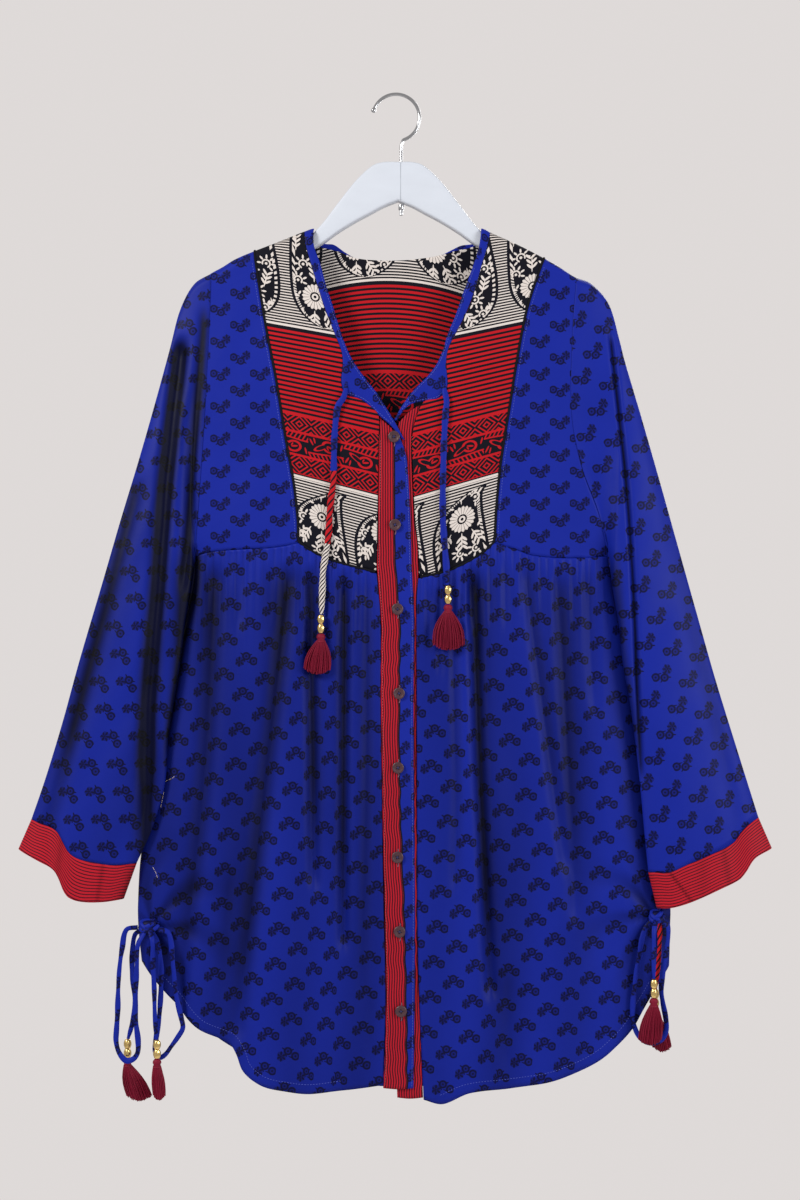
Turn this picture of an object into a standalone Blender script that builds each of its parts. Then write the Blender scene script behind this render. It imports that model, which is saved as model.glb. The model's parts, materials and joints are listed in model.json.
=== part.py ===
"""A tunic top on a hanger: the construction, piece by piece, at real size.

Every table is in millimetres, on a full-size front drawing of the garment as it hangs.
"across" runs from the drawing's left margin and "down" from its top margin.
Depth runs away from whoever looks at the front, and is zero at the hanger's middle plane.
Right and left are the wearer's, so the right side of the garment has the smaller "across".
"""

import math

import bmesh
import bpy
from mathutils import Vector

MM = 0.001

# The origin is the place under the top of the hook where a rail carries it.
ORIGIN_ACROSS = 396.0
ORIGIN_DOWN = 92.0
CENTRE = 401.0

CLOTH = 1.5
SEAM_GAP = 0.3
WAIST_GAP = 0.45
NECK_GAP = 0.35
SIDE_GAP = 0.25

# Shoulders roll over the hanger on this radius before they fall as front and back.
ROLL = 9.0
ROLL_ARC = ROLL * math.pi / 2
# The wearer's left front lies this much deeper where the right front laps over it.
LAP_DEPTH = 2.2
LAP_EDGE = 420.0
LAP_EASE = 26.0

PIPING_RADIUS = 1.2
PIPING_CHANNEL = 1.95
PIPING_SUNK = 0.4
TIE_RADIUS = 2.6
DRAWCORD_RADIUS = 2.3
KNOT_CLEAR = 0.75

ARMPIT_DOWN = 556.0
# Nothing of the front or the back comes nearer than this to the middle plane.
MIDDLE_CLEAR = 0.12

RIGHT = -1
LEFT = 1
FRONT = -1
BACK = 1


def smooth(points, at):
    """The value at a place on a smooth curve through (place, value) pairs in rising order."""
    if at <= points[0][0]:
        return points[0][1]
    if at >= points[-1][0]:
        return points[-1][1]
    low = max(i for i in range(len(points) - 1) if points[i][0] <= at)
    x0, y0 = points[low]
    x1, y1 = points[low + 1]
    slopes = []
    for i in (low, low + 1):
        before = points[max(i - 1, 0)]
        after = points[min(i + 1, len(points) - 1)]
        slopes.append((after[1] - before[1]) / (after[0] - before[0]))
    run = x1 - x0
    t = (at - x0) / run
    rise = y1 - y0
    bend = (slopes[0] + slopes[1]) * run - 2 * rise
    return y0 + t * (slopes[0] * run + t * (3 * rise - (2 * slopes[0] + slopes[1]) * run + t * bend))


def route(points, at):
    """The point at a share of the way along a smooth curve through points, by chord length."""
    lengths = [0.0]
    for here, there in zip(points, points[1:]):
        lengths.append(lengths[-1] + math.dist(here, there))
    place = at * lengths[-1]
    return tuple(smooth([(length, point[k]) for length, point in zip(lengths, points)], place)
                 for k in range(len(points[0])))


def shares(points):
    """How far along a line each of its points lies, from 0 to 1."""
    lengths = [0.0]
    for here, there in zip(points, points[1:]):
        lengths.append(lengths[-1] + math.dist(here, there))
    return [length / lengths[-1] for length in lengths]


def finer(points, parts=3):
    """The smooth curve through points with more points in each span. Each given point stays."""
    at = shares(points)
    made = [points[0]]
    for low, high in zip(at, at[1:]):
        made += [route(points, low + (high - low) * k / parts) for k in range(1, parts + 1)]
    return made


def ease(t):
    t = min(max(t, 0.0), 1.0)
    return t * t * (3 - 2 * t)


def place(across, depth, down):
    return Vector(((across - ORIGIN_ACROSS) * MM, depth * MM, (ORIGIN_DOWN - down) * MM))


# Finishes

FINISHES = {
    "sprig_cloth": ((0.014, 0.028, 0.33), 0.5, 0.0),
    "border_cloth": ((0.55, 0.05, 0.06), 0.6, 0.0),
    "stripe_cloth": ((0.5, 0.02, 0.03), 0.55, 0.0),
    "black_piping": ((0.01, 0.01, 0.015), 0.6, 0.0),
    "coconut": ((0.06, 0.025, 0.015), 0.35, 0.0),
    "gold_bead": ((0.85, 0.6, 0.25), 0.25, 1.0),
    "tassel_thread": ((0.16, 0.01, 0.03), 0.7, 0.0),
    "painted_wood": ((0.8, 0.82, 0.85), 0.35, 0.0),
    "chrome": ((0.75, 0.75, 0.76), 0.12, 1.0),
}


def finish(name):
    colour, roughness, metallic = FINISHES[name]
    made = bpy.data.materials.get(name) or bpy.data.materials.new(name)
    made.use_nodes = True
    shader = made.node_tree.nodes["Principled BSDF"]
    shader.inputs["Base Color"].default_value = (*colour, 1.0)
    shader.inputs["Roughness"].default_value = roughness
    shader.inputs["Metallic"].default_value = metallic
    return made


def add_object(name, bm, finish_name, crease=50):
    mesh = bpy.data.meshes.new(name)
    bmesh.ops.recalc_face_normals(bm, faces=bm.faces)
    if bm.calc_volume(signed=True) < 0:
        bmesh.ops.reverse_faces(bm, faces=bm.faces)
    bm.to_mesh(mesh)
    bm.free()
    mesh.shade_smooth()
    mesh.set_sharp_from_angle(angle=math.radians(crease))
    mesh.materials.append(finish(finish_name))
    made = bpy.data.objects.new(name, mesh)
    bpy.context.scene.collection.objects.link(made)
    return made


# The share of a wall's width over which its slope is measured.
NORMAL_STEP = 0.002


def cloth_wall(name, surface, columns, rows, finish_name, facing, tube=False):
    """A wall of cloth whose outer face is surface(u, v) and whose inner face lies one thickness in.

    rows is a number of even rows, or the list of their places from 0 to 1. A wall that isn't
    a tube belongs to the front or the back and stays on its own side of the middle plane.
    """
    step = NORMAL_STEP
    places = rows if isinstance(rows, list) else [k / rows for k in range(rows + 1)]

    def inner(u, v):
        u_low, u_high = (u - step, u + step) if tube else (max(u - step, 0), min(u + step, 1))
        along_u = surface(u_high, v) - surface(u_low, v)
        along_v = surface(u, min(v + step, 1)) - surface(u, max(v - step, 0))
        spot = surface(u, v) - along_u.cross(along_v).normalized() * (facing * CLOTH * MM)
        if not tube:
            spot.y = facing * max(facing * spot.y, MIDDLE_CLEAR * MM)
        return spot

    bm = bmesh.new()
    share_u = bm.verts.layers.float.new("u")
    share_v = bm.verts.layers.float.new("v")
    bmesh.ops.create_grid(bm, x_segments=columns, y_segments=len(places) - 1, size=0.5)
    for vert in bm.verts:
        vert[share_u] = vert.co.x + 0.5
        vert[share_v] = places[round((vert.co.y + 0.5) * (len(places) - 1))]
        vert.co = surface(vert[share_u], vert[share_v])
    if tube:
        bmesh.ops.remove_doubles(bm, verts=bm.verts, dist=1e-7)
    lining = bmesh.ops.extrude_face_region(bm, geom=bm.faces[:], use_keep_orig=True)
    for vert in [item for item in lining["geom"] if isinstance(item, bmesh.types.BMVert)]:
        vert.co = inner(vert[share_u], vert[share_v])
    return add_object(name, bm, finish_name)


# The form of the body

# The top silhouette of both shoulders: the right one stands a little prouder of the hanger.
SHOULDER_LINE = [
    (194, 281), (210, 271), (221, 265), (234, 257), (254, 248.5), (275, 240.5), (290, 234.5), (304, 229),
    (314, 226), (482, 226), (491, 230), (508, 237.5), (527, 246.5), (547, 257), (560, 264.5), (573, 273),
    (588, 281),
]

# Half the body's width from the centre line, at each height, on each side.
# Above the armpit it is the width of the flattened form that the armhole cuts through.
HALF_WIDTH = {
    RIGHT: [(250, 274), (400, 274), (450, 268), (490, 258), (520, 243), (540, 226), (556, 207),
            (650, 222.5), (905, 265), (930, 264.5), (970, 261), (1090, 262)],
    LEFT: [(250, 276), (400, 276), (450, 270), (490, 260), (520, 245), (540, 228), (556, 210),
           (650, 226), (905, 271), (930, 271), (970, 270), (1090, 262)],
}

# How far the front and the back stand from the middle plane at the centre line.
CENTRE_DEPTH = [(226, 12), (350, 13.5), (450, 15), (560, 16.5), (700, 18.5), (850, 20), (1000, 21), (1100, 21)]


def shoulder_line(across):
    return smooth(SHOULDER_LINE, across)


def side_edge(down, hand):
    return CENTRE + hand * smooth(HALF_WIDTH[hand], down)


def bulge(across, down, floor=0.03):
    """The flattened form's depth here, as a share of its depth at the centre line."""
    hand = LEFT if across > CENTRE else RIGHT
    share = (across - CENTRE) / smooth(HALF_WIDTH[hand], down)
    return math.sqrt(max(1 - share * share, floor))


def lap(across):
    """How much deeper the left front lies near the buttoned edge."""
    return LAP_DEPTH * (1 - ease((across - LAP_EDGE) / LAP_EASE)) if across > CENTRE - LAP_EASE else 0.0


def arc_at(across, down, side=FRONT):
    """The length of cloth from the top of the shoulder to this place: negative behind."""
    drop = down - shoulder_line(across)
    if drop < ROLL:
        return -side * ROLL * math.acos(1 - max(drop, 0.0) / ROLL)
    return -side * (ROLL_ARC + drop - ROLL)


def torso(across, arc, deeper=0.0):
    """A place on the upper body, given by its arc over the shoulder."""
    side = BACK if arc < 0 else FRONT
    if abs(arc) < ROLL_ARC:
        drop = ROLL * (1 - math.cos(abs(arc) / ROLL))
        rolled = math.sin(abs(arc) / ROLL)
    else:
        drop = ROLL + abs(arc) - ROLL_ARC
        rolled = 1.0
    down = shoulder_line(across) + drop
    depth = side * smooth(CENTRE_DEPTH, down) * bulge(across, down) * rolled
    return place(across, depth + deeper, down)


def on_front(across, down, deeper=0.0):
    return torso(across, arc_at(across, down), deeper)


def as_arcs(points, side, parts=3):
    return [(across, arc_at(across, down, side)) for across, down in finer(points, parts)]


def patch(left, right, top, bottom, u, v):
    """A place in a panel with four drawn edges, each a list of points from left to right or top to bottom."""
    edge_left = route(left, v)
    edge_right = route(right, v)
    edge_top = route(top, u)
    edge_bottom = route(bottom, u)
    return tuple(
        (1 - u) * edge_left[k] + u * edge_right[k] + (1 - v) * edge_top[k] + v * edge_bottom[k]
        - (1 - u) * (1 - v) * top[0][k] - u * (1 - v) * top[-1][k]
        - (1 - u) * v * bottom[0][k] - u * v * bottom[-1][k]
        for k in (0, 1)
    )


def shifted(points, across=0.0, down=0.0):
    return [(x + across, y + down) for x, y in points]


# Seam lines on the front drawing

YOKE_OUTER = {
    RIGHT: [(254, 249), (255.5, 262), (265, 322), (276, 379), (286, 440), (293.5, 481), (298, 520), (299, 541)],
    LEFT: [(545, 256), (541, 266), (527, 309), (517, 360), (510, 404), (501, 460), (496, 510), (494, 541)],
}
YOKE_BOTTOM = {
    RIGHT: [(299, 541), (303.5, 545.3), (311, 550.4), (324, 557), (337, 561.8), (350, 565.5), (376.5, 572)],
    LEFT: [(418.8, 577), (433, 574.5), (447, 571), (461, 565), (474, 558), (484, 551.4), (490, 546.2), (494, 541)],
}
ARMHOLE = {
    RIGHT: [(210.5, 271.5), (209.5, 290), (207, 330), (204.5, 391), (201, 460), (197, 510), (194, 556)],
    LEFT: [(577.5, 275.5), (576.5, 290), (573, 334), (573, 420), (582, 470), (599, 515), (611, 556)],
}
WAIST = {
    RIGHT: [(194, 556), (212, 551.5), (247, 549), (269, 548), (287, 545.5), (298, 543)],
    LEFT: [(495, 543), (517, 550), (531, 555), (565, 558), (611, 556)],
}

# The bound neck edge: the inner edge is the neck opening, the outer one is sewn to the yoke.
# At the V each binding widens into a leaf whose lower edge runs back to the buttoned edge.
NECK_INNER = {
    RIGHT: [(313.5, 227), (313.8, 245), (319.7, 262), (326, 285), (333.8, 309), (340.8, 332), (347.5, 350),
            (355.6, 365), (365, 378), (377.5, 394), (386.9, 409), (396, 424), (404.5, 440)],
    LEFT: [(481.8, 227), (479, 246), (472.8, 266.6), (462, 296), (455.6, 315), (447.8, 333.8), (443.5, 348),
           (437, 363.4), (427.5, 376), (418, 385.5), (408.8, 396), (399.4, 410), (393.9, 419.7)],
}
NECK_OUTER = {
    RIGHT: [(304.2, 229.2), (304.2, 231.4), (304.4, 236), (304.8, 242), (310.3, 262), (317.3, 285), (325, 309),
            (334, 332), (341.5, 352), (342.5, 365), (341, 381), (345.5, 394.5), (358.8, 398.5), (368, 404.5),
            (378.5, 415), (391, 426), (400.8, 438)],
    LEFT: [(490.8, 230.2), (490.4, 232.2), (489.6, 237), (487.7, 246), (481.4, 266.6), (476, 286.9),
           (466.6, 311.9), (456.6, 332), (449, 347), (446.5, 358), (446.8, 371), (447.3, 386.9), (439, 398),
           (424.4, 401), (411, 404), (403.5, 410.5), (397, 421)],
}
# The yoke's edge follows the binding through this many of those points, then the buttoned edge.
YOKE_NECK_POINTS = {RIGHT: 15, LEFT: 14}
YOKE_FOOT = 565.0
YOKE_FRONT_EDGE = {
    RIGHT: [(378.4, 440), (378, 480), (377.3, 520), (376.2, 571.5)],
    LEFT: [(416.4, 417), (412.4, 437), (413.2, 480), (415.4, 520), (418.6, 550), (419, 576)],
}

# The placket that shows: its rows give the left edge and the right edge at each height.
PLACKET_OVER_LEFT = [(380.6, 419), (379.2, 440), (378.8, 480), (378.1, 520), (377.6, 546), (377.2, 572),
                     (381, 620), (381, 660), (381, 700), (381.8, 750), (382.5, 800), (383.2, 850), (384, 900),
                     (385, 950), (386, 1000), (385.3, 1045), (383.3, 1086)]
PLACKET_OVER_RIGHT = [(400.5, 438.8), (406, 455), (408.5, 480), (410.5, 520), (411.5, 560), (414, 620),
                      (413.5, 700), (414, 800), (415, 900), (414.5, 1000), (413.5, 1086)]
PLACKET_UNDER_RIGHT = [(419.4, 405.5), (415.6, 417), (411.3, 437), (412.1, 480), (414.3, 520), (417.7, 550),
                       (418.1, 577), (416.4, 600), (416.4, 650), (416.4, 700), (416.5, 750), (416.6, 800),
                       (416.7, 850), (416.8, 900), (417.5, 950), (419, 1000), (421, 1050), (423, 1096)]
PLACKET_UNDER_LEFT = [(399.2, 422), (396, 440), (393, 480), (391.5, 520), (390.5, 560), (390.5, 600),
                      (390.5, 700), (390.7, 800), (391, 900), (392, 950), (393.5, 1000), (395.5, 1050),
                      (397.3, 1096)]

SKIRT_HEM = {
    RIGHT: [(140, 963), (152, 979.5), (174, 1003.5), (197, 1028), (229, 1042.5), (236, 1052), (244, 1071),
            (262, 1085), (285, 1090), (310, 1092), (345, 1088), (382.8, 1083)],
    LEFT: [(423.5, 1098), (443, 1102), (470, 1091), (510, 1086.5), (545, 1082), (575, 1072.5), (600, 1060),
           (618, 1045), (633, 1029), (645, 1009), (658, 988), (671, 968)],
}
SKIRT_FRONT_EDGE = {
    RIGHT: [(376.4, 573.5), (380.4, 620), (380.4, 700), (381.9, 800), (383.4, 900), (385.4, 1000), (382.6, 1083)],
    LEFT: [(418.6, 578.5), (416.8, 600), (416.8, 700), (417, 800), (417.2, 900), (417.9, 950), (419.4, 1000),
           (421.4, 1050), (423.5, 1098)],
}

# Folds of the front skirts. Each runs through three places across, at the waist seam, at mid
# height and near the hem, and is a trough of this depth and half width between start and end.
FOLD_STATIONS = (580.0, 800.0, 1040.0)
FOLD_EASE = 26.0
FRONT_FOLDS = {
    # waist, middle, hem, depth, half width, start, end
    RIGHT: [
        (216, 204, 170, 3.6, 8.0, 556, 1030),
        (239, 232, 215, 1.8, 5.0, 556, 640),
        (256, 236, 218, 1.6, 6.0, 860, 1010),
        (269, 266, 250, 1.8, 4.5, 556, 640),
        (288, 262, 236, 5.4, 8.0, 556, 1050),
        (300, 300, 300, 2.0, 3.6, 556, 640),
        (313, 312, 314, 4.6, 6.0, 560, 1010),
        (325, 324, 323, 2.0, 3.6, 566, 660),
        (336, 330, 326, 2.6, 4.2, 566, 670),
        (348, 344, 343, 4.8, 5.4, 566, 1030),
        (358, 356, 354, 2.0, 3.4, 570, 650),
        (368, 367, 361, 2.2, 5.0, 570, 1010),
        (372, 373, 372, 1.6, 6.0, 980, 1075),
    ],
    LEFT: [
        (429, 430, 431, 1.8, 3.4, 576, 660),
        (440, 440, 432, 2.2, 4.4, 572, 690),
        (452, 457, 450, 2.6, 5.0, 568, 900),
        (461, 462, 463, 2.2, 3.8, 566, 650),
        (470, 469, 468, 2.6, 3.6, 564, 640),
        (480, 480, 494, 6.6, 7.4, 560, 1040),
        (491, 494, 497, 1.8, 4.0, 552, 640),
        (506, 510, 512, 2.0, 4.4, 556, 640),
        (527, 556, 590, 3.6, 6.0, 556, 880),
        (543, 546, 549, 1.8, 4.4, 560, 640),
        (559, 571, 582, 3.4, 7.0, 562, 930),
        (574, 578, 582, 2.0, 4.4, 562, 640),
        (588, 600, 612, 2.4, 6.0, 562, 720),
        (513, 513, 508, 2.2, 8.0, 960, 1080),
    ],
}


def trough(across, down, path, depth, wide, start, end, stations=FOLD_STATIONS):
    middle = smooth(list(zip(stations, path)), down)
    length = ease((down - start) / FOLD_EASE) * (1 - ease((down - end + FOLD_EASE) / FOLD_EASE))
    if stations[0] < down < stations[-1] or length > 0:
        return depth * length * math.exp(-((across - middle) / wide) ** 2)
    return 0.0


def front_gathers(across, down, hand):
    return sum(trough(across, down, fold[:3], *fold[3:]) for fold in FRONT_FOLDS[hand])


# The back's gathers are spread evenly below its yoke and fan a little towards the hem.
BACK_GATHERS = 15
BACK_GATHER_WIDE = 7.5


def back_gathers(across, down):
    total = 0.0
    for k in range(BACK_GATHERS):
        share = (k + 0.5) / BACK_GATHERS * 2 - 1
        waist = CENTRE + 196 * share + 4 * math.sin(2.3 * k)
        hem = CENTRE + 232 * share + 6 * math.sin(1.7 * k + 1)
        depth = 3.4 + 1.5 * math.sin(2.9 * k + 0.5)
        end = 900 + 130 * math.sin(4.1 * k)
        middle = (waist + hem) / 2
        total += trough(across, down, (waist, middle, hem), depth, BACK_GATHER_WIDE, 556, end)
    return total


# Body panels

# Rows of a panel that starts at the top of the shoulder: close together where it rolls over.
ROLL_ROWS = [0, 0.014, 0.028, 0.044]


def rows_from_shoulder(count):
    return ROLL_ROWS + [ROLL_ROWS[-1] + (1 - ROLL_ROWS[-1]) * (k + 1) / count for k in range(count)]


def shoulder_edge(start, stop, side):
    """The seam over the hanger, between two places across."""
    return [(start + (stop - start) * k / 4, -side * SEAM_GAP / 2) for k in range(5)]


def shoulder_panel(name, side, outer, inner, bottom, hand, counts, finish_name, lapped=False):
    """A panel that hangs from the shoulder seam. Its edges are drawn lines in rising order down.

    counts gives its columns and its rows; with no number of rows, they meet the inner edge's points.
    """
    columns, rows = counts
    outer = as_arcs(outer, side)
    inner = as_arcs(inner, side)
    bottom = as_arcs(bottom, side)
    left, right = (outer, inner) if hand == RIGHT else (inner, outer)
    top = shoulder_edge(left[0][0], right[0][0], side)
    left = [top[0]] + left[1:-1] + [bottom[0]]
    right = [top[-1]] + right[1:-1] + [bottom[-1]]

    def surface(u, v):
        across, arc = patch(left, right, top, bottom, u, v)
        return torso(across, arc, lap(across) if lapped else 0.0)

    places = rows_from_shoulder(rows) if rows else shares(right if hand == RIGHT else left)[::3]
    return cloth_wall(name, surface, columns, places, finish_name, facing=side)


def side_panel(name, hand):
    """The plain front between armhole and yoke."""
    armhole = shifted(ARMHOLE[hand], -hand * SEAM_GAP)
    yoke = shifted(YOKE_OUTER[hand], hand * PIPING_CHANNEL)
    waist = shifted(WAIST[hand], 0, -WAIST_GAP)
    if hand == RIGHT:
        waist = [(armhole[-1][0], waist[0][1])] + waist[1:-1] + [(yoke[-1][0], waist[-1][1])]
    else:
        waist = [(yoke[-1][0], waist[0][1])] + waist[1:-1] + [(armhole[-1][0], waist[-1][1])]
    return shoulder_panel(name, FRONT, armhole, yoke, waist, hand, (7, 9), "sprig_cloth")


def yoke_panel(name, hand):
    outer = shifted(YOKE_OUTER[hand], -hand * PIPING_CHANNEL)
    neck = shifted(NECK_OUTER[hand][:YOKE_NECK_POINTS[hand]], hand * NECK_GAP, NECK_GAP) + YOKE_FRONT_EDGE[hand]
    bottom = shifted(YOKE_BOTTOM[hand], 0, -PIPING_CHANNEL)
    corner = (outer[-1][0], outer[-1][1] - PIPING_CHANNEL)
    end = neck[-1][0], neck[-1][1] - PIPING_CHANNEL
    bottom = [corner] + bottom[1:-1] + [end] if hand == RIGHT else [end] + bottom[1:-1] + [corner]
    return shoulder_panel(name, FRONT, outer, neck, bottom, hand, (6, 0), "border_cloth", hand == LEFT)


# The skirts' folds fade out over this width beside the side seam.
SIDE_CALM = 22.0


def skirt_surface(across, down, hand, side):
    folds = front_gathers(across, down, hand) if side == FRONT else back_gathers(across, down)
    edge = side_edge(down, hand)
    near_side = ease(abs(across - edge) / SIDE_CALM)
    depth = smooth(CENTRE_DEPTH, down) * bulge(across, down, floor=0.0)
    depth = SIDE_GAP + depth - folds * near_side
    return side * depth


SIDE_CROWDING = 0.35


def crowded(u):
    """Places from 0 to 1 that lie closer together near 0, where the cloth turns round the side."""
    return (1 - SIDE_CROWDING) * u + SIDE_CROWDING * (1 - math.cos(u * math.pi / 2))


def front_skirt(name, hand):
    seam = shifted(WAIST[hand], 0, WAIST_GAP)
    under_yoke = shifted(YOKE_BOTTOM[hand], 0, PIPING_CHANNEL)
    inner = SKIRT_FRONT_EDGE[hand]
    hem = SKIRT_HEM[hand]
    corner_down = hem[0][1] if hand == RIGHT else hem[-1][1]
    side = [(side_edge(d, hand), d) for d in (ARMPIT_DOWN, 650, 750, 850, 905, 935, corner_down)]
    if hand == RIGHT:
        top = seam[:-1] + under_yoke[1:]
        left, right = side, inner
        top = [left[0]] + top[1:-1] + [right[0]]
        hem = [left[-1]] + hem[1:]
    else:
        top = under_yoke[:-1] + seam[1:]
        left, right = inner, side
        top = [left[0]] + top[1:-1] + [right[0]]
        hem = hem[:-1] + [right[-1]]

    def surface(u, v):
        near = crowded(u) if hand == RIGHT else 1 - crowded(1 - u)
        across, down = patch(left, right, top, hem, near, v)
        deeper = lap(across) if hand == LEFT else 0.0
        return place(across, skirt_surface(across, down, hand, FRONT) + deeper, down)

    return cloth_wall(name, surface, 36, 8, "sprig_cloth", facing=FRONT)


BACK_YOKE_BOTTOM = [(297.5, 540), (320, 543.5), (350, 547.5), (401, 550), (452, 547.5), (476, 544), (496.5, 540)]
BACK_WAIST = {
    RIGHT: [(194, 556), (220, 550), (250, 545.5), (280, 541.5), (297, 540)],
    LEFT: [(497, 540), (520, 542.5), (550, 547), (580, 551.5), (611, 556)],
}
BACK_NECK = [(313, 240), (324.4, 243.5), (340, 247.5), (352.5, 252.5), (368, 255), (401, 255.5),
             (430, 252.5), (446, 249), (456, 246), (470, 243), (481, 240)]
BACK_YOKE_OUTER = {
    RIGHT: [(254, 249), (256, 262), (265.5, 322), (276.5, 379), (286.5, 440), (293.5, 481), (297.5, 540)],
    LEFT: [(545, 256), (541, 266), (528.5, 309), (518.5, 360), (511.5, 404), (502.5, 460), (496.5, 540)],
}


def back_yoke():
    """It starts at the shoulder seam on both sides and its neck edge dips between them."""
    left = as_arcs(shifted(BACK_YOKE_OUTER[RIGHT], WAIST_GAP), BACK)
    right = as_arcs(shifted(BACK_YOKE_OUTER[LEFT], -WAIST_GAP), BACK)
    top = shoulder_edge(left[0][0], 305, BACK) + as_arcs(BACK_NECK, BACK) + shoulder_edge(490, right[0][0], BACK)
    bottom = as_arcs(BACK_YOKE_BOTTOM, BACK)
    left = [top[0]] + left[1:-1] + [bottom[0]]
    right = [top[-1]] + right[1:-1] + [bottom[-1]]

    def surface(u, v):
        across, arc = patch(left, right, top, bottom, u, v)
        return torso(across, min(arc, -SEAM_GAP / 2))

    return cloth_wall("back_yoke", surface, 22, rows_from_shoulder(5), "border_cloth", facing=BACK)


def back_side(name, hand):
    armhole = shifted(ARMHOLE[hand], -hand * SEAM_GAP)
    yoke = shifted(BACK_YOKE_OUTER[hand], hand * WAIST_GAP)
    waist = shifted(BACK_WAIST[hand], 0, -WAIST_GAP)
    if hand == RIGHT:
        waist = [(armhole[-1][0], waist[0][1])] + waist[1:-1] + [(yoke[-1][0], waist[-1][1])]
    else:
        waist = [(yoke[-1][0], waist[0][1])] + waist[1:-1] + [(armhole[-1][0], waist[-1][1])]
    return shoulder_panel(name, BACK, armhole, yoke, waist, hand, (6, 6), "sprig_cloth")


BACK_HEM = [(140, 963), (160, 990), (185, 1018), (220, 1048), (262, 1072), (310, 1087), (360, 1094), (401, 1096),
            (445, 1094), (495, 1087), (545, 1072), (588, 1050), (622, 1022), (648, 995), (671, 968)]


def back_skirt():
    left = [(side_edge(d, RIGHT), d) for d in (ARMPIT_DOWN, 650, 750, 850, 905, 935, 963)]
    right = [(side_edge(d, LEFT), d) for d in (ARMPIT_DOWN, 650, 750, 850, 905, 935, 968)]
    waist = shifted(BACK_WAIST[RIGHT], 0, WAIST_GAP) + shifted(BACK_YOKE_BOTTOM[1:-1], 0, 2 * WAIST_GAP)
    waist += shifted(BACK_WAIST[LEFT], 0, WAIST_GAP)
    top = [left[0]] + waist[1:-1] + [right[0]]
    hem = [left[-1]] + BACK_HEM[1:-1] + [right[-1]]

    def surface(u, v):
        near = (1 - SIDE_CROWDING) * u + SIDE_CROWDING * (1 - math.cos(u * math.pi)) / 2
        across, down = patch(left, right, top, hem, near, v)
        hand = LEFT if across > CENTRE else RIGHT
        return place(across, skirt_surface(across, down, hand, BACK), down)

    return cloth_wall("back_skirt", surface, 42, 6, "sprig_cloth", facing=BACK)


def plackets():
    top_over = [PLACKET_OVER_LEFT[0], (390.5, 427.5), PLACKET_OVER_RIGHT[0]]
    hem_over = [PLACKET_OVER_LEFT[-1], (398, 1087), PLACKET_OVER_RIGHT[-1]]

    def body_depth(across, down):
        return -smooth(CENTRE_DEPTH, down) * bulge(across, down)

    def over(u, v):
        across, down = patch(PLACKET_OVER_LEFT, PLACKET_OVER_RIGHT, top_over, hem_over, u, v)
        return place(across, body_depth(across, down), down)

    def under(u, v):
        top = [PLACKET_UNDER_LEFT[0], (410, 411), PLACKET_UNDER_RIGHT[0]]
        hem = [PLACKET_UNDER_LEFT[-1], (410, 1097), PLACKET_UNDER_RIGHT[-1]]
        across, down = patch(PLACKET_UNDER_LEFT, PLACKET_UNDER_RIGHT, top, hem, u, v)
        return place(across, body_depth(across, down) + LAP_DEPTH, down)

    cloth_wall("placket_over", over, 2, shares(PLACKET_OVER_LEFT), "stripe_cloth", facing=FRONT)
    cloth_wall("placket_under", under, 2, shares(PLACKET_UNDER_RIGHT), "stripe_cloth", facing=FRONT)


def neck_bindings():
    for name, hand in (("neck_binding_right", RIGHT), ("neck_binding_left", LEFT)):
        inner = as_arcs(NECK_INNER[hand], FRONT)
        outer = as_arcs(NECK_OUTER[hand], FRONT)
        left, right = (outer, inner) if hand == RIGHT else (inner, outer)
        top = shoulder_edge(left[0][0], right[0][0], FRONT)
        foot = [left[-1], right[-1]]
        left = [top[0]] + left[1:]
        right = [top[-1]] + right[1:]

        def surface(u, v, left=left, right=right, top=top, foot=foot, hand=hand):
            across, arc = patch(left, right, top, foot, u, v)
            return torso(across, arc, lap(across) if hand == LEFT else 0.0)

        cloth_wall(name, surface, 2, shares(left if hand == RIGHT else right)[::3], "sprig_cloth", facing=FRONT)


BACK_BINDING_WIDE = 8.0
BACK_BINDING = [(316, 236), (324, 238.5), (333, 239.5), (344, 247), (355, 253), (370, 255.3), (401, 255.8),
                (428, 253), (443, 249.3), (453, 244.5), (462, 240.3), (472, 239), (480, 237)]


def back_binding():
    """The bound back neck, laid on the outside of the back yoke."""
    lower = shifted(BACK_BINDING, 0, BACK_BINDING_WIDE)

    def surface(u, v):
        upper_x, upper_y = route(BACK_BINDING, u)
        lower_x, lower_y = route(lower, u)
        across = upper_x + (lower_x - upper_x) * v
        down = upper_y + (lower_y - upper_y) * v
        return torso(across, arc_at(across, down, BACK), CLOTH + SEAM_GAP)

    return cloth_wall("neck_binding_back", surface, 14, 1, "sprig_cloth", facing=BACK)


def piping(name, hand):
    """A piped cord let into the seam round the front yoke."""
    outer = YOKE_OUTER[hand]
    bottom = YOKE_BOTTOM[hand]
    line = outer + bottom[1:] if hand == RIGHT else outer + bottom[::-1][1:]
    line = line[:-1] + [(line[-1][0] + hand * 1.2, line[-1][1])]
    curve = bpy.data.curves.new(name, "CURVE")
    curve.dimensions = "3D"
    curve.bevel_depth = PIPING_RADIUS * MM
    curve.bevel_resolution = 1
    curve.use_fill_caps = True
    rolled = as_arcs(line, FRONT, 4)[1:5]
    arcs = [(line[0][0], 0.6)] + rolled + as_arcs(line, FRONT, 2)[3:]
    spline = curve.splines.new("POLY")
    spline.points.add(len(arcs) - 1)
    for point, (across, arc) in zip(spline.points, arcs):
        point.co = (*torso(across, arc, (lap(across) if hand == LEFT else 0.0) + PIPING_SUNK), 1)
    curve.materials.append(finish("black_piping"))
    made = bpy.data.objects.new(name, curve)
    bpy.context.scene.collection.objects.link(made)
    return made


# Sleeves

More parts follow.
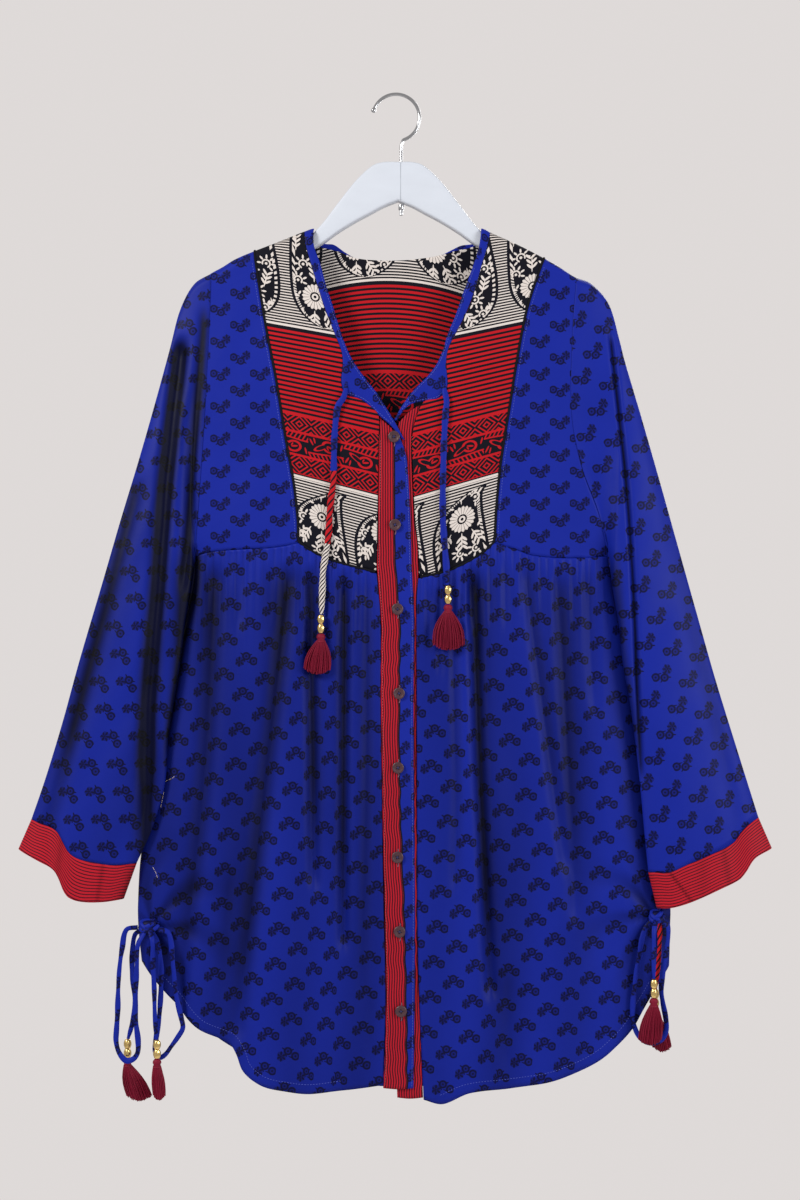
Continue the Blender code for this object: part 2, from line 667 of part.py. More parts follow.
# Each row gives a line across the flattened sleeve: its outer end, its inner end,
# its half thickness, and how deep its outer and inner ends lie.
SLEEVE_ROWS = {
    # outer across, outer down, inner across, inner down, half thickness, outer depth, inner depth
    RIGHT: [
        (210.0, 271.0, 193.3, 555.2, 9, 0, 0), (192, 282.5, 191.6, 559, 9, 0, -2), (178, 309, 190.2, 567, 9, 0, -5),
        (168, 348, 188.6, 579, 10, -1, -8), (154, 400, 187.2, 596, 11, -2, -10), (137, 460, 184.5, 625, 12, -3, -11),
        (119, 520, 180.5, 660, 12, -4, -11), (101, 582, 174, 700, 12, -4, -11), (78, 660, 168, 740, 12, -4, -11),
        (61, 722, 163, 785, 12, -4, -11), (44, 778, 149, 826, 12, -4, -11), (29.6, 820, 130.5, 864, 12, -4, -10),
    ],
    LEFT: [
        (578.0, 275.5, 611.7, 555.2, 9, 0, 0), (594, 282.5, 613.6, 559, 9, 0, -4), (611, 303, 615.2, 567, 9, 0, -8),
        (621, 338, 616.2, 579, 10, -1, -12), (627, 362, 617, 596, 11, -2, -14), (644, 420, 618.5, 625, 12, -3, -15),
        (661, 480, 622, 660, 12, -4, -15), (678, 541, 629, 700, 12, -4, -15.5), (700, 620, 634.5, 740, 12, -5, -16),
        (717, 680, 639.5, 785, 12, -5, -16.5), (738, 748, 643.5, 830, 12, -5, -17), (760, 818, 647.5, 871, 12, -5, -17),
    ],
}
# Half the gap at the cuff's seam, in rows of the sleeve and as a share of the cuff's height.
CUFF_SEAM_ROWS = 0.005
CUFF_SEAM_SHARE = 0.006
CUFF_HEM = {
    # outer across, outer down, inner across, inner down, half thickness, outer depth, inner depth
    RIGHT: (16.5, 850, 121.5, 900, 13, -4, -10),
    LEFT: (773.5, 849, 656, 907, 13, -5, -17),
}
# How far the sleeve's end and the cuff's hem hang below a straight line, by share from the outer end.
END_SAG = {
    RIGHT: [(0, 0), (0.1, -0.6), (0.2, -0.9), (0.27, 1), (0.32, 7.8), (0.37, 15), (0.45, 18), (0.6, 15.5),
            (0.77, 11), (1, 0)],
    LEFT: [(0, 0), (0.1, 1), (0.17, 5), (0.24, 11), (0.44, 11.6), (0.64, 9.8), (0.82, 9), (1, 0)],
}
HEM_SAG = {
    RIGHT: [(0, 0), (0.22, 0.8), (0.35, 2.6), (0.4, 8), (0.45, 18), (0.5, 22), (0.61, 20.6), (0.8, 12), (1, 0)],
    LEFT: [(0, 0), (0.14, -1), (0.19, 1.5), (0.24, 8), (0.3, 12.3), (0.46, 11.5), (0.71, 9.7), (0.88, 6), (1, 0)],
}
# The armhole of the wearer's left sleeve curves in towards the body.
ARMHOLE_BOW = {RIGHT: [(0, 0), (0.5, 1), (1, 0)],
               LEFT: [(0, 0), (0.2, -10.5), (0.5, -21), (0.68, -17.5), (0.84, -6.5), (1, 0)]}

# Long folds of the sleeves: places across at these heights, depth, half width, start and end.
SLEEVE_STATIONS = (330.0, 480.0, 580.0, 700.0, 820.0)
SLEEVE_FOLDS = {
    RIGHT: [
        ((181, 166, 160.5, 151, 150), 6.5, 7.0, 330, 1000),
        ((203, 191, 185, 176, 168), 3.5, 5.0, 300, 600),
        ((170, 139, 116, 82, 44), 2.6, 9.0, 470, 1000),
    ],
    LEFT: [
        ((603, 608, 620, 640, 650), 5.0, 6.5, 330, 600),
        ((616, 626, 634, 639, 660), 3.0, 5.0, 350, 760),
        ((650, 668, 685, 712, 735), 1.6, 11.0, 400, 1000),
    ],
}


def flat_tube(t):
    """A place round a flattened tube: its share across from the outer fold, and its depth share."""
    angle = 2 * math.pi * t
    half = t * 2 if t <= 0.5 else 2 - t * 2
    share = 0.5 * half + 0.25 * (1 - math.cos(angle))
    lens = 2 * math.sqrt(max(share * (1 - share), 0.0))
    return share, (FRONT if t <= 0.5 else BACK) * lens


def sleeve_line(hand, row):
    """The values of a row of the sleeve, between the table's rows."""
    rows = SLEEVE_ROWS[hand]
    return [smooth([(k, values[column]) for k, values in enumerate(rows)], row) for column in range(7)]


def sleeve_point(hand, row, t):
    last = len(SLEEVE_ROWS[hand]) - 1
    outer_x, outer_y, inner_x, inner_y, half, outer_depth, inner_depth = sleeve_line(hand, row)
    share, lens = flat_tube(t)
    hang = (row / last) ** 3
    across = outer_x + (inner_x - outer_x) * share
    across += smooth(ARMHOLE_BOW[hand], share) * (1 - ease(row / 3))
    down = outer_y + (inner_y - outer_y) * share
    down += smooth(END_SAG[hand], share) * hang
    middle = outer_depth + (inner_depth - outer_depth) * share
    depth = middle + half * lens
    if row < 2.5:
        seam_share = 1 - ease(row / 2.5)
        line_x = across if row < 0.01 else outer_x
        drop = down - outer_y
        rolled = math.sin(math.acos(1 - min(drop, ROLL) / ROLL)) if drop < ROLL else 1.0
        body = smooth(CENTRE_DEPTH, down) * bulge(line_x if row < 0.01 else across, down) * rolled
        depth = depth * (1 - seam_share) + math.copysign(body, lens) * seam_share * min(1, abs(lens) * 4)
    if lens < 0:
        folds = sum(trough(across, down, fold[0], *fold[1:], stations=SLEEVE_STATIONS)
                    for fold in SLEEVE_FOLDS[hand])
        depth += folds * min(1.0, abs(lens) * 1.5) * ease(row / 1.5)
    return place(across, depth, down)


def cuff_point(hand, v, t):
    last = len(SLEEVE_ROWS[hand]) - 1
    seam = SLEEVE_ROWS[hand][last]
    hem = CUFF_HEM[hand]
    outer_x, outer_y, inner_x, inner_y, half, outer_depth, inner_depth = (
        a + (b - a) * v for a, b in zip(seam, hem))
    share, lens = flat_tube(t)
    across = outer_x + (inner_x - outer_x) * share
    down = outer_y + (inner_y - outer_y) * share
    down += smooth(END_SAG[hand], share) * (1 - v) + smooth(HEM_SAG[hand], share) * v
    middle = outer_depth + (inner_depth - outer_depth) * share
    depth = middle + half * lens
    if lens < 0:
        folds = sum(trough(across, down, fold[0], *fold[1:], stations=SLEEVE_STATIONS)
                    for fold in SLEEVE_FOLDS[hand])
        depth += folds * min(1.0, abs(lens) * 1.5)
    return place(across, depth, down)


def sleeve(hand, word):
    last = len(SLEEVE_ROWS[hand]) - 1

    def cloth(u, v):
        return sleeve_point(hand, v * (last - CUFF_SEAM_ROWS), u % 1.0)

    def band(u, v):
        return cuff_point(hand, CUFF_SEAM_SHARE + v * (1 - CUFF_SEAM_SHARE), u % 1.0)

    facing = hand
    cloth_wall("sleeve_" + word, cloth, 26, 10, "sprig_cloth", facing=facing, tube=True)
    cloth_wall("cuff_" + word, band, 26, 2, "stripe_cloth", facing=facing, tube=True)


# Cords

# The ties' routes, chosen by hand: across, down, and how far they lie off the cloth under them.
NECK_TIES = {
    "neck_tie_right": [(343.5, 398.5, 0.4), (339.5, 404, 0.4), (337, 412, 0.4), (335.5, 425, 0.4), (334.5, 441, 0.4),
                       (334, 462, 0.4), (333.5, 482, 0.4), (331.5, 497, 0.4), (330, 512, 0.4), (329, 531, 0.5),
                       (327, 548, 0.7), (325, 560, 1.2), (323.2, 572, 1.4), (322.8, 584, 1.3), (322.3, 598, 1.2),
                       (321.8, 614, 1.2)],
    "neck_tie_left": [(446.5, 401.5, 0.4), (446, 409, 0.4), (445, 421, 0.4), (444, 441, 0.4), (443.3, 462, 0.4),
                      (442.8, 482, 0.4), (442.6, 502, 0.4), (443, 523, 0.4), (444.3, 543, 0.6), (446, 564, 1.2),
                      (447.2, 585, 1.4)],
}
# The drawcords' routes: across, down, and how far in front of the middle plane.
KNOTS = {
    # across, down, ahead, then half its size each way
    "right": (149, 925, 13.2, 11.0, 6.5, 5.6),
    "left": (657, 915.5, 12.8, 8.5, 6.5, 5.6),
}
DRAWCORDS = {
    # A route whose name holds loop ends in the knot that it starts from.
    "drawcord_right_loop_1": [(127, 929, 16.4), (122.5, 948, 15.4), (119.8, 968, 15.2), (118.5, 990, 15.2),
                              (118, 1012, 15.2), (116.8, 1030, 15.2), (116.5, 1041, 15.2), (119.5, 1052, 15.2),
                              (126.4, 1060, 15.2), (133.5, 1058.5, 15.2), (138, 1052, 15.2), (138.4, 1040, 15.2),
                              (136.5, 1024, 15.2), (135.6, 1005, 15.2), (136.2, 985, 15.5), (137.6, 965, 17.5),
                              (139, 943, 19.4)],
    "drawcord_right_loop_2": [(169, 933, 14.4), (173, 962, 14.6), (176.5, 995, 15.4), (182, 1018, 16.8),
                              (183.3, 1027, 16.5), (178.5, 1036, 15.5), (171.5, 1046, 13.5), (165, 1055, 11),
                              (159, 1058.5, 9.5), (154.5, 1052, 8.8), (156, 1036, 9.4), (158.8, 1018, 10.4),
                              (161, 985, 12), (160.5, 960, 12), (157, 942, 10.9)],
    "drawcord_right_end_1": [(134, 936, 7.4), (131.5, 956, 7.4), (131.5, 978, 7.6), (133.8, 1000, 7.8),
                             (132, 1022, 7.9), (127.3, 1040, 8)],
    "drawcord_right_end_2": [(154, 939, 22.4), (154, 962, 20.4), (155, 984, 19.2), (155.6, 1012, 18.6),
                             (157.3, 1038, 18.5)],
    "drawcord_left_loop_1": [(668, 926.5, 14.4), (666.5, 948, 15.5), (662.8, 968, 16.8), (660.5, 988, 17.4),
                             (662, 1001, 17.6), (665, 1017, 17.6), (665.5, 1029, 17.6), (660.6, 1038.5, 17.6),
                             (652, 1042.4, 17.6), (643.6, 1040.4, 17.4), (637.5, 1034, 16.8), (632.5, 1020, 16),
                             (632.5, 1005, 15.4), (635, 980, 14.6), (639, 955, 13.8), (645, 929, 12.4)],
    "drawcord_left_end_1": [(652.5, 929, 24.4), (652, 945, 25), (652, 960, 25), (652, 976, 25)],
    "drawcord_left_end_2": [(660, 931.5, 11.9), (659.5, 950, 11.7), (658.2, 970, 11.6), (655.5, 989, 11.6)],
}


def front_ahead(across, down):
    """How far the front's cloth lies in front of the middle plane."""
    if down < YOKE_FOOT:
        return -on_front(across, down, lap(across)).y / MM
    hand = LEFT if across > CENTRE else RIGHT
    return -skirt_surface(across, down, hand, FRONT)


def tie_route(points):
    """A tie's route with its distance in front of the middle plane."""
    return [(across, down, front_ahead(across, down) + TIE_RADIUS + off) for across, down, off in points]


def at_knot(hand_word, toward):
    """Where a cord leaves its knot: just off the knot's surface, on the way to a point."""
    across, down, ahead, wide, high, deep = KNOTS[hand_word]
    run = [t - k for t, k in zip(toward, (across, down, ahead))]
    reach = 1 / math.sqrt(sum((r / half) ** 2 for r, half in zip(run, (wide, high, deep))))
    length = math.sqrt(sum(r * r for r in run))
    share = reach + KNOT_CLEAR / length
    return tuple(k + r * share for k, r in zip((across, down, ahead), run))


def cord(name, points, radius, finish_name):
    """A limp cord as a plain tube along a smooth curve through its route."""
    length = sum(math.dist(a, b) for a, b in zip(points, points[1:]))
    count = max(5, round(length / (radius * 2 * 2.9)))
    curve = bpy.data.curves.new(name, "CURVE")
    curve.dimensions = "3D"
    curve.bevel_depth = radius * MM
    curve.bevel_resolution = 2
    curve.use_fill_caps = True
    spline = curve.splines.new("POLY")
    spline.points.add(count)
    for k in range(count + 1):
        across, down, ahead = route(points, k / count)
        spline.points[k].co = (*place(across, -ahead, down), 1)
    curve.materials.append(finish(finish_name))
    made = bpy.data.objects.new(name, curve)
    bpy.context.scene.collection.objects.link(made)
    return made


# Beads, tassels and buttons


def lathe(name, profile, centre, finish_name, sides, squash=1.0, flat=False):
    """A turned piece. Its profile gives (radius, distance along the axis): down, or forward if flat."""
    bm = bmesh.new()
    verts = [bm.verts.new((r * MM, 0, -h * MM)) for r, h in profile]
    edges = [bm.edges.new(pair) for pair in zip(verts, verts[1:])]
    bmesh.ops.spin(bm, geom=verts + edges, cent=(0, 0, 0), axis=(0, 0, 1), angle=math.tau, steps=sides, use_merge=True)
    bmesh.ops.remove_doubles(bm, verts=bm.verts, dist=1e-6)
    for vert in bm.verts:
        x, y, z = vert.co
        vert.co = Vector((x, z, y)) + centre if flat else Vector((x, y * squash, z)) + centre
    return add_object(name, bm, finish_name, crease=40)


BEAD_PROFILE = [(0, 0), (3.1, 0.8), (3.7, 4.6), (2.2, 9.2), (3.7, 13.8), (3.1, 17.6), (0, 18.4)]

TASSEL_COLUMNS = 5
TASSEL_LAYERS = 3
# Half the tied head's width and depth, and its height.
TASSEL_HEAD = (4.4, 3.2, 5.5)


def tassel(name, across, down, ahead, wide, deep, long, lean):
    """Strands of thread fused into a small tied head. They spread as they hang."""
    bm = bmesh.new()
    bmesh.ops.create_grid(bm, x_segments=TASSEL_COLUMNS, y_segments=TASSEL_LAYERS, size=1.0)
    for vert in bm.verts:
        x, y = vert.co.x, vert.co.y
        vert.co = Vector((x * math.sqrt(1 - y * y / 2.6), y * math.sqrt(1 - x * x / 2.6), 0))
    strands = bm.faces[:]
    head_width, head_depth = TASSEL_HEAD[:2]
    rim = [edge for edge in bm.edges if edge.is_boundary]
    rings = [(1.0, 0.0), (0.72, 0.45), (0.5, 1.0)]
    for vert in bm.verts:
        vert.co = Vector((vert.co.x * head_width, vert.co.y * head_depth, 0))
    for (wide_now, high_now), (wide_next, high_next) in zip(rings, rings[1:]):
        made = bmesh.ops.extrude_edge_only(bm, edges=rim)["geom"]
        for vert in [item for item in made if isinstance(item, bmesh.types.BMVert)]:
            vert.co.x *= wide_next / wide_now
            vert.co.y *= wide_next / wide_now
            vert.co.z = high_next * TASSEL_HEAD[2]
        rim = [item for item in made if isinstance(item, bmesh.types.BMEdge) and item.is_boundary]
    bmesh.ops.contextual_create(bm, geom=rim)
    tips = bmesh.ops.extrude_discrete_faces(bm, faces=strands)["faces"]
    for index, face in enumerate(tips):
        middle = face.calc_center_median()
        share_x, share_y = middle.x / head_width, middle.y / head_depth
        tip = Vector((share_x * wide / 2 + lean, share_y * deep / 2, -long * (1 - 0.12 * share_x ** 2)))
        tip.z += 0.8 * math.sin(7.3 * index)
        for vert in face.verts:
            spread = vert.co - middle
            vert.co = tip + Vector((spread.x * 1.15, spread.y * 0.75, 0))
    centre = place(across, -ahead, down + TASSEL_HEAD[2])
    for vert in bm.verts:
        vert.co = centre + vert.co * MM
    return add_object(name, bm, "tassel_thread", crease=60)


# Beads hang under each end: across and down of the cord's end, distance in front, and the tassel's sizes.
PENDANTS = {
    # across, down, ahead, tassel width, tassel depth, tassel length, lean
    "neck_right": (321.3, 614.6, 21.4, 26.5, 8, 34, -3.5),
    "neck_left": (447.8, 585.6, 21.4, 31.5, 8, 39, 0.5),
    "side_right_1": (126.8, 1040.6, 8, 25, 8, 36, 12),
    "side_right_2": (157.8, 1038.6, 18.5, 12, 8, 34, 2.5),
    "side_left_1": (652, 976.6, 25, 23, 7, 40, -3.5),
    "side_left_2": (655.5, 989.6, 11.6, 19, 6, 37, 7),
}


def pendants():
    for word, (across, down, ahead, wide, deep, long, lean) in PENDANTS.items():
        lathe("beads_" + word, BEAD_PROFILE, place(across, -ahead, down), "gold_bead", 8)
        tassel("tassel_" + word, across, down + BEAD_PROFILE[-1][1] + SEAM_GAP, ahead, wide, deep, long, lean)


def knots():
    """The slip knots that hold the side drawcords."""
    for word, (across, down, ahead, wide, high, deep) in KNOTS.items():
        bm = bmesh.new()
        bmesh.ops.create_icosphere(bm, subdivisions=2, radius=1.0)
        centre = place(across, -ahead, down)
        for vert in bm.verts:
            x, y, z = vert.co
            vert.co = centre + Vector((x * wide, y * deep, z * high)) * MM
        add_object("drawcord_knot_" + word, bm, "sprig_cloth")


BUTTONS = [(394, 437), (395, 525), (397.5, 609), (399, 693), (398, 767), (397.5, 856), (399.5, 930), (401, 1009)]
BUTTON_RADIUS = 5.8
BUTTON_CLEAR = 0.5
BUTTON_PROFILE = [(0, 0), (BUTTON_RADIUS, 0.3), (BUTTON_RADIUS, 2.0), (4.7, 2.6), (3.9, 2.1), (0, 2.0)]


def buttons():
    for k, (across, down) in enumerate(BUTTONS):
        depth = -smooth(CENTRE_DEPTH, down) * bulge(across, down) - BUTTON_CLEAR
        lathe(f"button_{k + 1}", BUTTON_PROFILE, place(across, depth, down), "coconut", 12, flat=True)


# Hanger

HANGER_CENTRE = 398.0
HANGER_THICK = 12.0
HANGER_ROUND = 3.6
# Half of the hanger: distance out from its middle, its upper edge and its lower edge.
HANGER_HALF = [
    # out, upper, lower
    (0, 159.0, 199.0), (15, 159.3, 205.0), (26, 163.0, 211.0), (42, 177.5, 219.5), (60, 200.0, 230.5),
    (74, 218.5, 240.5), (81.5, 227.0, 245.0), (87, 232.5, 248.0), (108, 241.5, 258.5), (149, 261.5, 279.0),
    (166, 271.0, 288.0),
    (173, 277.5, 291.0),
]


def hanger():
    bm = bmesh.new()
    upper = [(-out, high) for out, high, _ in HANGER_HALF[::-1]] + [(out, high) for out, high, _ in HANGER_HALF[1:]]
    lower = [(out, low) for out, _, low in HANGER_HALF[::-1]] + [(-out, low) for out, _, low in HANGER_HALF[1:]]
    rim = [bm.verts.new(place(HANGER_CENTRE + out, -HANGER_THICK / 2, down)) for out, down in upper + lower]
    front = bm.faces.new(rim)
    made = bmesh.ops.extrude_face_region(bm, geom=[front], use_keep_orig=True)
    back = [item for item in made["geom"] if isinstance(item, bmesh.types.BMVert)]
    bmesh.ops.translate(bm, verts=back, vec=(0, HANGER_THICK * MM, 0))
    bmesh.ops.recalc_face_normals(bm, faces=bm.faces)
    edges = [edge for edge in bm.edges if abs(edge.verts[0].co.y - edge.verts[1].co.y) < 1e-6]
    bmesh.ops.bevel(bm, geom=edges, offset=HANGER_ROUND * MM, affect="EDGES", segments=2, profile=0.5, material=-1)
    add_object("hanger_wood", bm, "painted_wood", crease=35)


SCREW_TOP = 201.7
SCREW_PROFILE = [(0, 0), (2.6, 0), (2.6, 5.5), (1.9, 6.5), (1.9, 10.5), (0, 11)]
HOOK_WIRE = 1.65
HOOK_BEND = 23.65
HOOK_CENTRE_DOWN = ORIGIN_DOWN + HOOK_BEND - HOOK_WIRE
HOOK_START = -72.0
HOOK_END = 157.0
HOOK_STEPS = 16
# The ball: distance past the bend's end and swell of the wire there.
HOOK_BALL = [(1.0, 1.35), (2.4, 1.5), (3.6, 1.2), (4.2, 0.6)]
SHAFT = [(401.2, 158.6, 1.0), (401.2, 150, 1.0), (401.3, 142.5, 1.0), (402.2, 139.2, 1.0)]


def hook():
    """A wire hook: a straight shaft out of the wood, then an open bend that ends in a small ball."""
    stations = list(SHAFT)
    for k in range(HOOK_STEPS + 1):
        angle = math.radians(HOOK_START + (HOOK_END - HOOK_START) * k / HOOK_STEPS)
        x = ORIGIN_ACROSS + HOOK_BEND * math.cos(angle)
        y = HOOK_CENTRE_DOWN - HOOK_BEND * math.sin(angle)
        stations.append((x, y, 1.0))
    end = math.radians(HOOK_END)
    for along, swell in HOOK_BALL:
        stations.append((stations[HOOK_STEPS + len(SHAFT)][0] - math.sin(end) * along,
                         stations[HOOK_STEPS + len(SHAFT)][1] - math.cos(end) * along, swell))
    curve = bpy.data.curves.new("hanger_hook", "CURVE")
    curve.dimensions = "3D"
    curve.bevel_depth = HOOK_WIRE * MM
    curve.bevel_resolution = 2
    curve.use_fill_caps = True
    spline = curve.splines.new("POLY")
    spline.points.add(len(stations) - 1)
    for point, (across, down, swell) in zip(spline.points, stations):
        point.co = (*place(across, 0, down), 1)
        point.radius = swell
    curve.materials.append(finish("chrome"))
    made = bpy.data.objects.new("hanger_hook", curve)
    bpy.context.scene.collection.objects.link(made)
    lathe("hanger_screw", SCREW_PROFILE, place(SHAFT[0][0], 0, SCREW_TOP), "chrome", 10)


def build():
    for thing in list(bpy.data.objects):
        bpy.data.objects.remove(thing, do_unlink=True)
    side_panel("front_side_right", RIGHT)
    side_panel("front_side_left", LEFT)
    yoke_panel("front_yoke_right", RIGHT)
    yoke_panel("front_yoke_left", LEFT)
    front_skirt("front_skirt_right", RIGHT)
    front_skirt("front_skirt_left", LEFT)
    back_yoke()
    back_side("back_side_right", RIGHT)
    back_side("back_side_left", LEFT)
    back_skirt()
    plackets()
    neck_bindings()
    back_binding()
    piping("yoke_piping_right", RIGHT)
    piping("yoke_piping_left", LEFT)
    sleeve(RIGHT, "right")
    sleeve(LEFT, "left")
    for name, points in NECK_TIES.items():
        cord(name, tie_route(points), TIE_RADIUS, "sprig_cloth")
    for name, points in DRAWCORDS.items():
        word = name.split("_")[1]
        ends = [at_knot(word, points[0])] + points
        if "loop" in name:
            ends.append(at_knot(word, points[-1]))
        cord(name, ends, DRAWCORD_RADIUS, "sprig_cloth")
    knots()
    pendants()
    buttons()
    hanger()
    hook()


build()
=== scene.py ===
# %% [markdown]
# # A gathered tunic on its hanger
#
# This lesson dresses a imported part. The part gives a tunic and its hanger as plain solids at real
# size. Each cell makes the cloth, thread, beads or metal that show, rides them on the part's one
# body, and hides the solid that each piece stands for.

# %% Start empty and load the part
import json
import math

import bmesh
import bpy
import numpy as np
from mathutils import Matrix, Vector

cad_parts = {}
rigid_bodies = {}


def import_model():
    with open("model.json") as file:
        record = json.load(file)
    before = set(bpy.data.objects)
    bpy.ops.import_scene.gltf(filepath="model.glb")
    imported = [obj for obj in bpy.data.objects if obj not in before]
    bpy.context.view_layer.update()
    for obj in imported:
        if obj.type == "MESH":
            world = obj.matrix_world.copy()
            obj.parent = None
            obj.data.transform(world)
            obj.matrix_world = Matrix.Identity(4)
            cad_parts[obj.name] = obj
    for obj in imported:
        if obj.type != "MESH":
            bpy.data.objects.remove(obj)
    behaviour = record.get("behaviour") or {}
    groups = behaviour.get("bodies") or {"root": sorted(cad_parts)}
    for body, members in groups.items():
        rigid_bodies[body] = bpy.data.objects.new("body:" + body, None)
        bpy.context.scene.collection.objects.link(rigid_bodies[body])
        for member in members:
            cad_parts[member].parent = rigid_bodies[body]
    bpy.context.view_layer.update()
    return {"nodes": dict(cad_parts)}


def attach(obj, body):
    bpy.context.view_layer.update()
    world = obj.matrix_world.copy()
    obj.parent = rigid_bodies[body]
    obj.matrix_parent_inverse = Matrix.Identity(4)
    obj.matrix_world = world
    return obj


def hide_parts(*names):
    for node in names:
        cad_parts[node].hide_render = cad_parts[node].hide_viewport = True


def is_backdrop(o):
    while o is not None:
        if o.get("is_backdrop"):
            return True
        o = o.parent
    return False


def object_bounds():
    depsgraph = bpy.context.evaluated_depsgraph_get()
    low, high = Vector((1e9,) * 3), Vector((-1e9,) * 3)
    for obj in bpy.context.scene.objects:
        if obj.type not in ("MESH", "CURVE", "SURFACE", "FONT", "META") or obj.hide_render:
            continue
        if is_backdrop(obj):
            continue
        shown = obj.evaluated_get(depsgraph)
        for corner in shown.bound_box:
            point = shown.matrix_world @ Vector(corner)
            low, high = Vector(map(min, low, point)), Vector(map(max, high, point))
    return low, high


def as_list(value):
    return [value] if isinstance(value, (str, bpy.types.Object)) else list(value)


for thing in list(bpy.data.objects):
    bpy.data.objects.remove(thing, do_unlink=True)
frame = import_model()
print("parts of the frame:", len(frame["nodes"]))

# %% [markdown]
# ## The drawing
#
# The part is laid out on a full-size front drawing in millimetres: "across" from the left margin,
# "down" from the top margin, and depth away from the viewer. The origin is under the hook's bend.
# Everything below uses the same drawing, so the cloth falls exactly where the solids are.

# %% Places on the drawing
MM = 0.001
ORIGIN_ACROSS, ORIGIN_DOWN, CENTRE = 396.0, 92.0, 401.0
RIGHT, LEFT, FRONT, BACK = -1, 1, -1, 1


def place(across, depth, down):
    """Points in metres for numbers or arrays in the drawing's millimetres."""
    across, depth, down = np.broadcast_arrays(across, depth, down)
    return np.stack([across - ORIGIN_ACROSS, depth, ORIGIN_DOWN - down], -1) * MM


def smooth(points, at):
    """Values on a smooth curve through rows of (place, value, ...), for many places at once."""
    table = np.array(points, float)
    x, y = table[:, 0], table[:, 1:]
    after = np.minimum(np.arange(len(x)) + 1, len(x) - 1)
    before = np.maximum(np.arange(len(x)) - 1, 0)
    slope = (y[after] - y[before]) / (x[after] - x[before])[:, None]
    at = np.clip(np.asarray(at, float), x[0], x[-1])
    low = np.clip(np.searchsorted(x, at, side="right") - 1, 0, len(x) - 2)
    run = (x[low + 1] - x[low])[..., None]
    t = (at - x[low])[..., None] / run
    rise = y[low + 1] - y[low]
    start, end = slope[low] * run, slope[low + 1] * run
    value = y[low] + t * (start + t * (3 * rise - 2 * start - end + t * (start + end - 2 * rise)))
    return value[..., 0] if value.shape[-1] == 1 else value


def lengths_along(points):
    """How far along a line each of its points lies."""
    return np.concatenate([[0], np.cumsum(np.linalg.norm(np.diff(points, axis=0), axis=1))])


def route(points, share):
    """Points at shares of the way along a smooth curve, by chord length."""
    points = np.array(points, float)
    along = lengths_along(points)
    return smooth(np.column_stack([along, points]), np.asarray(share) * along[-1])


def finer(points, parts=3):
    """The same smooth curve with more points: each stretch is cut into equal parts."""
    points = np.array(points, float)
    along = lengths_along(points)
    at = [a + (b - a) * k / parts for a, b in zip(along, along[1:]) for k in range(parts)] + [along[-1]]
    return smooth(np.column_stack([along, points]), np.array(at))


def ease(t):
    """Goes smoothly from 0 to 1, and stays there."""
    t = np.clip(t, 0.0, 1.0)
    return t * t * (3 - 2 * t)


# %% [markdown]
# ## The camera
#
# The photograph was taken straight on, from about 1.7 m away and level with the middle of the
# garment, so the camera looks along +Y with no shift, and one millimetre of cloth is one pixel of
# an 800 x 1200 picture.

# %% Camera
VIEW_ACROSS, VIEW_DOWN, VIEW_AWAY, VIEW_HALF = 400.0, 600.0, -1713.0, 600.0
VIEW_SCALE_AWAY = 1700.0
camera_data = bpy.data.cameras.new("camera")
camera_data.lens = camera_data.sensor_width / 2 / (VIEW_HALF / VIEW_SCALE_AWAY)
camera = bpy.data.objects.new("camera", camera_data)
camera.location = place(VIEW_ACROSS, VIEW_AWAY, VIEW_DOWN)
camera.rotation_euler = (math.pi / 2, 0, 0)
bpy.context.scene.collection.objects.link(camera)
bpy.context.scene.camera = camera
print(f"camera lens {camera_data.lens:.1f} mm")

# %% [markdown]
# ## Nodes written as arithmetic
#
# Every finish is procedural. A small helper adds one shader node at a time and joins numbers or
# other nodes to it, so that a printed pattern reads as sums. Patterns follow the cloth because
# each piece carries its own UV map, in metres of cloth.

# %% A helper for materials
TURN_STEP = 15
# How much of its colour cloth loses at the bottom of a deep fold, where the light doesn't reach.
HOLLOW_DARK = 0.93
# Every cloth has slow patches of wear, fine creases and a weave, and this much relief in metres.
WEAR, WEAR_SCALE, WEAR_DETAIL, CREASE_SCALE, CREASE_DETAIL = 0.08, 14.0, 4.0, 55.0, 5.0
WEAVE_PITCH, WEAVE_SHARE, CLOTH_BUMP, CLOTH_RELIEF = 0.45, 0.012, 0.55, 0.0006


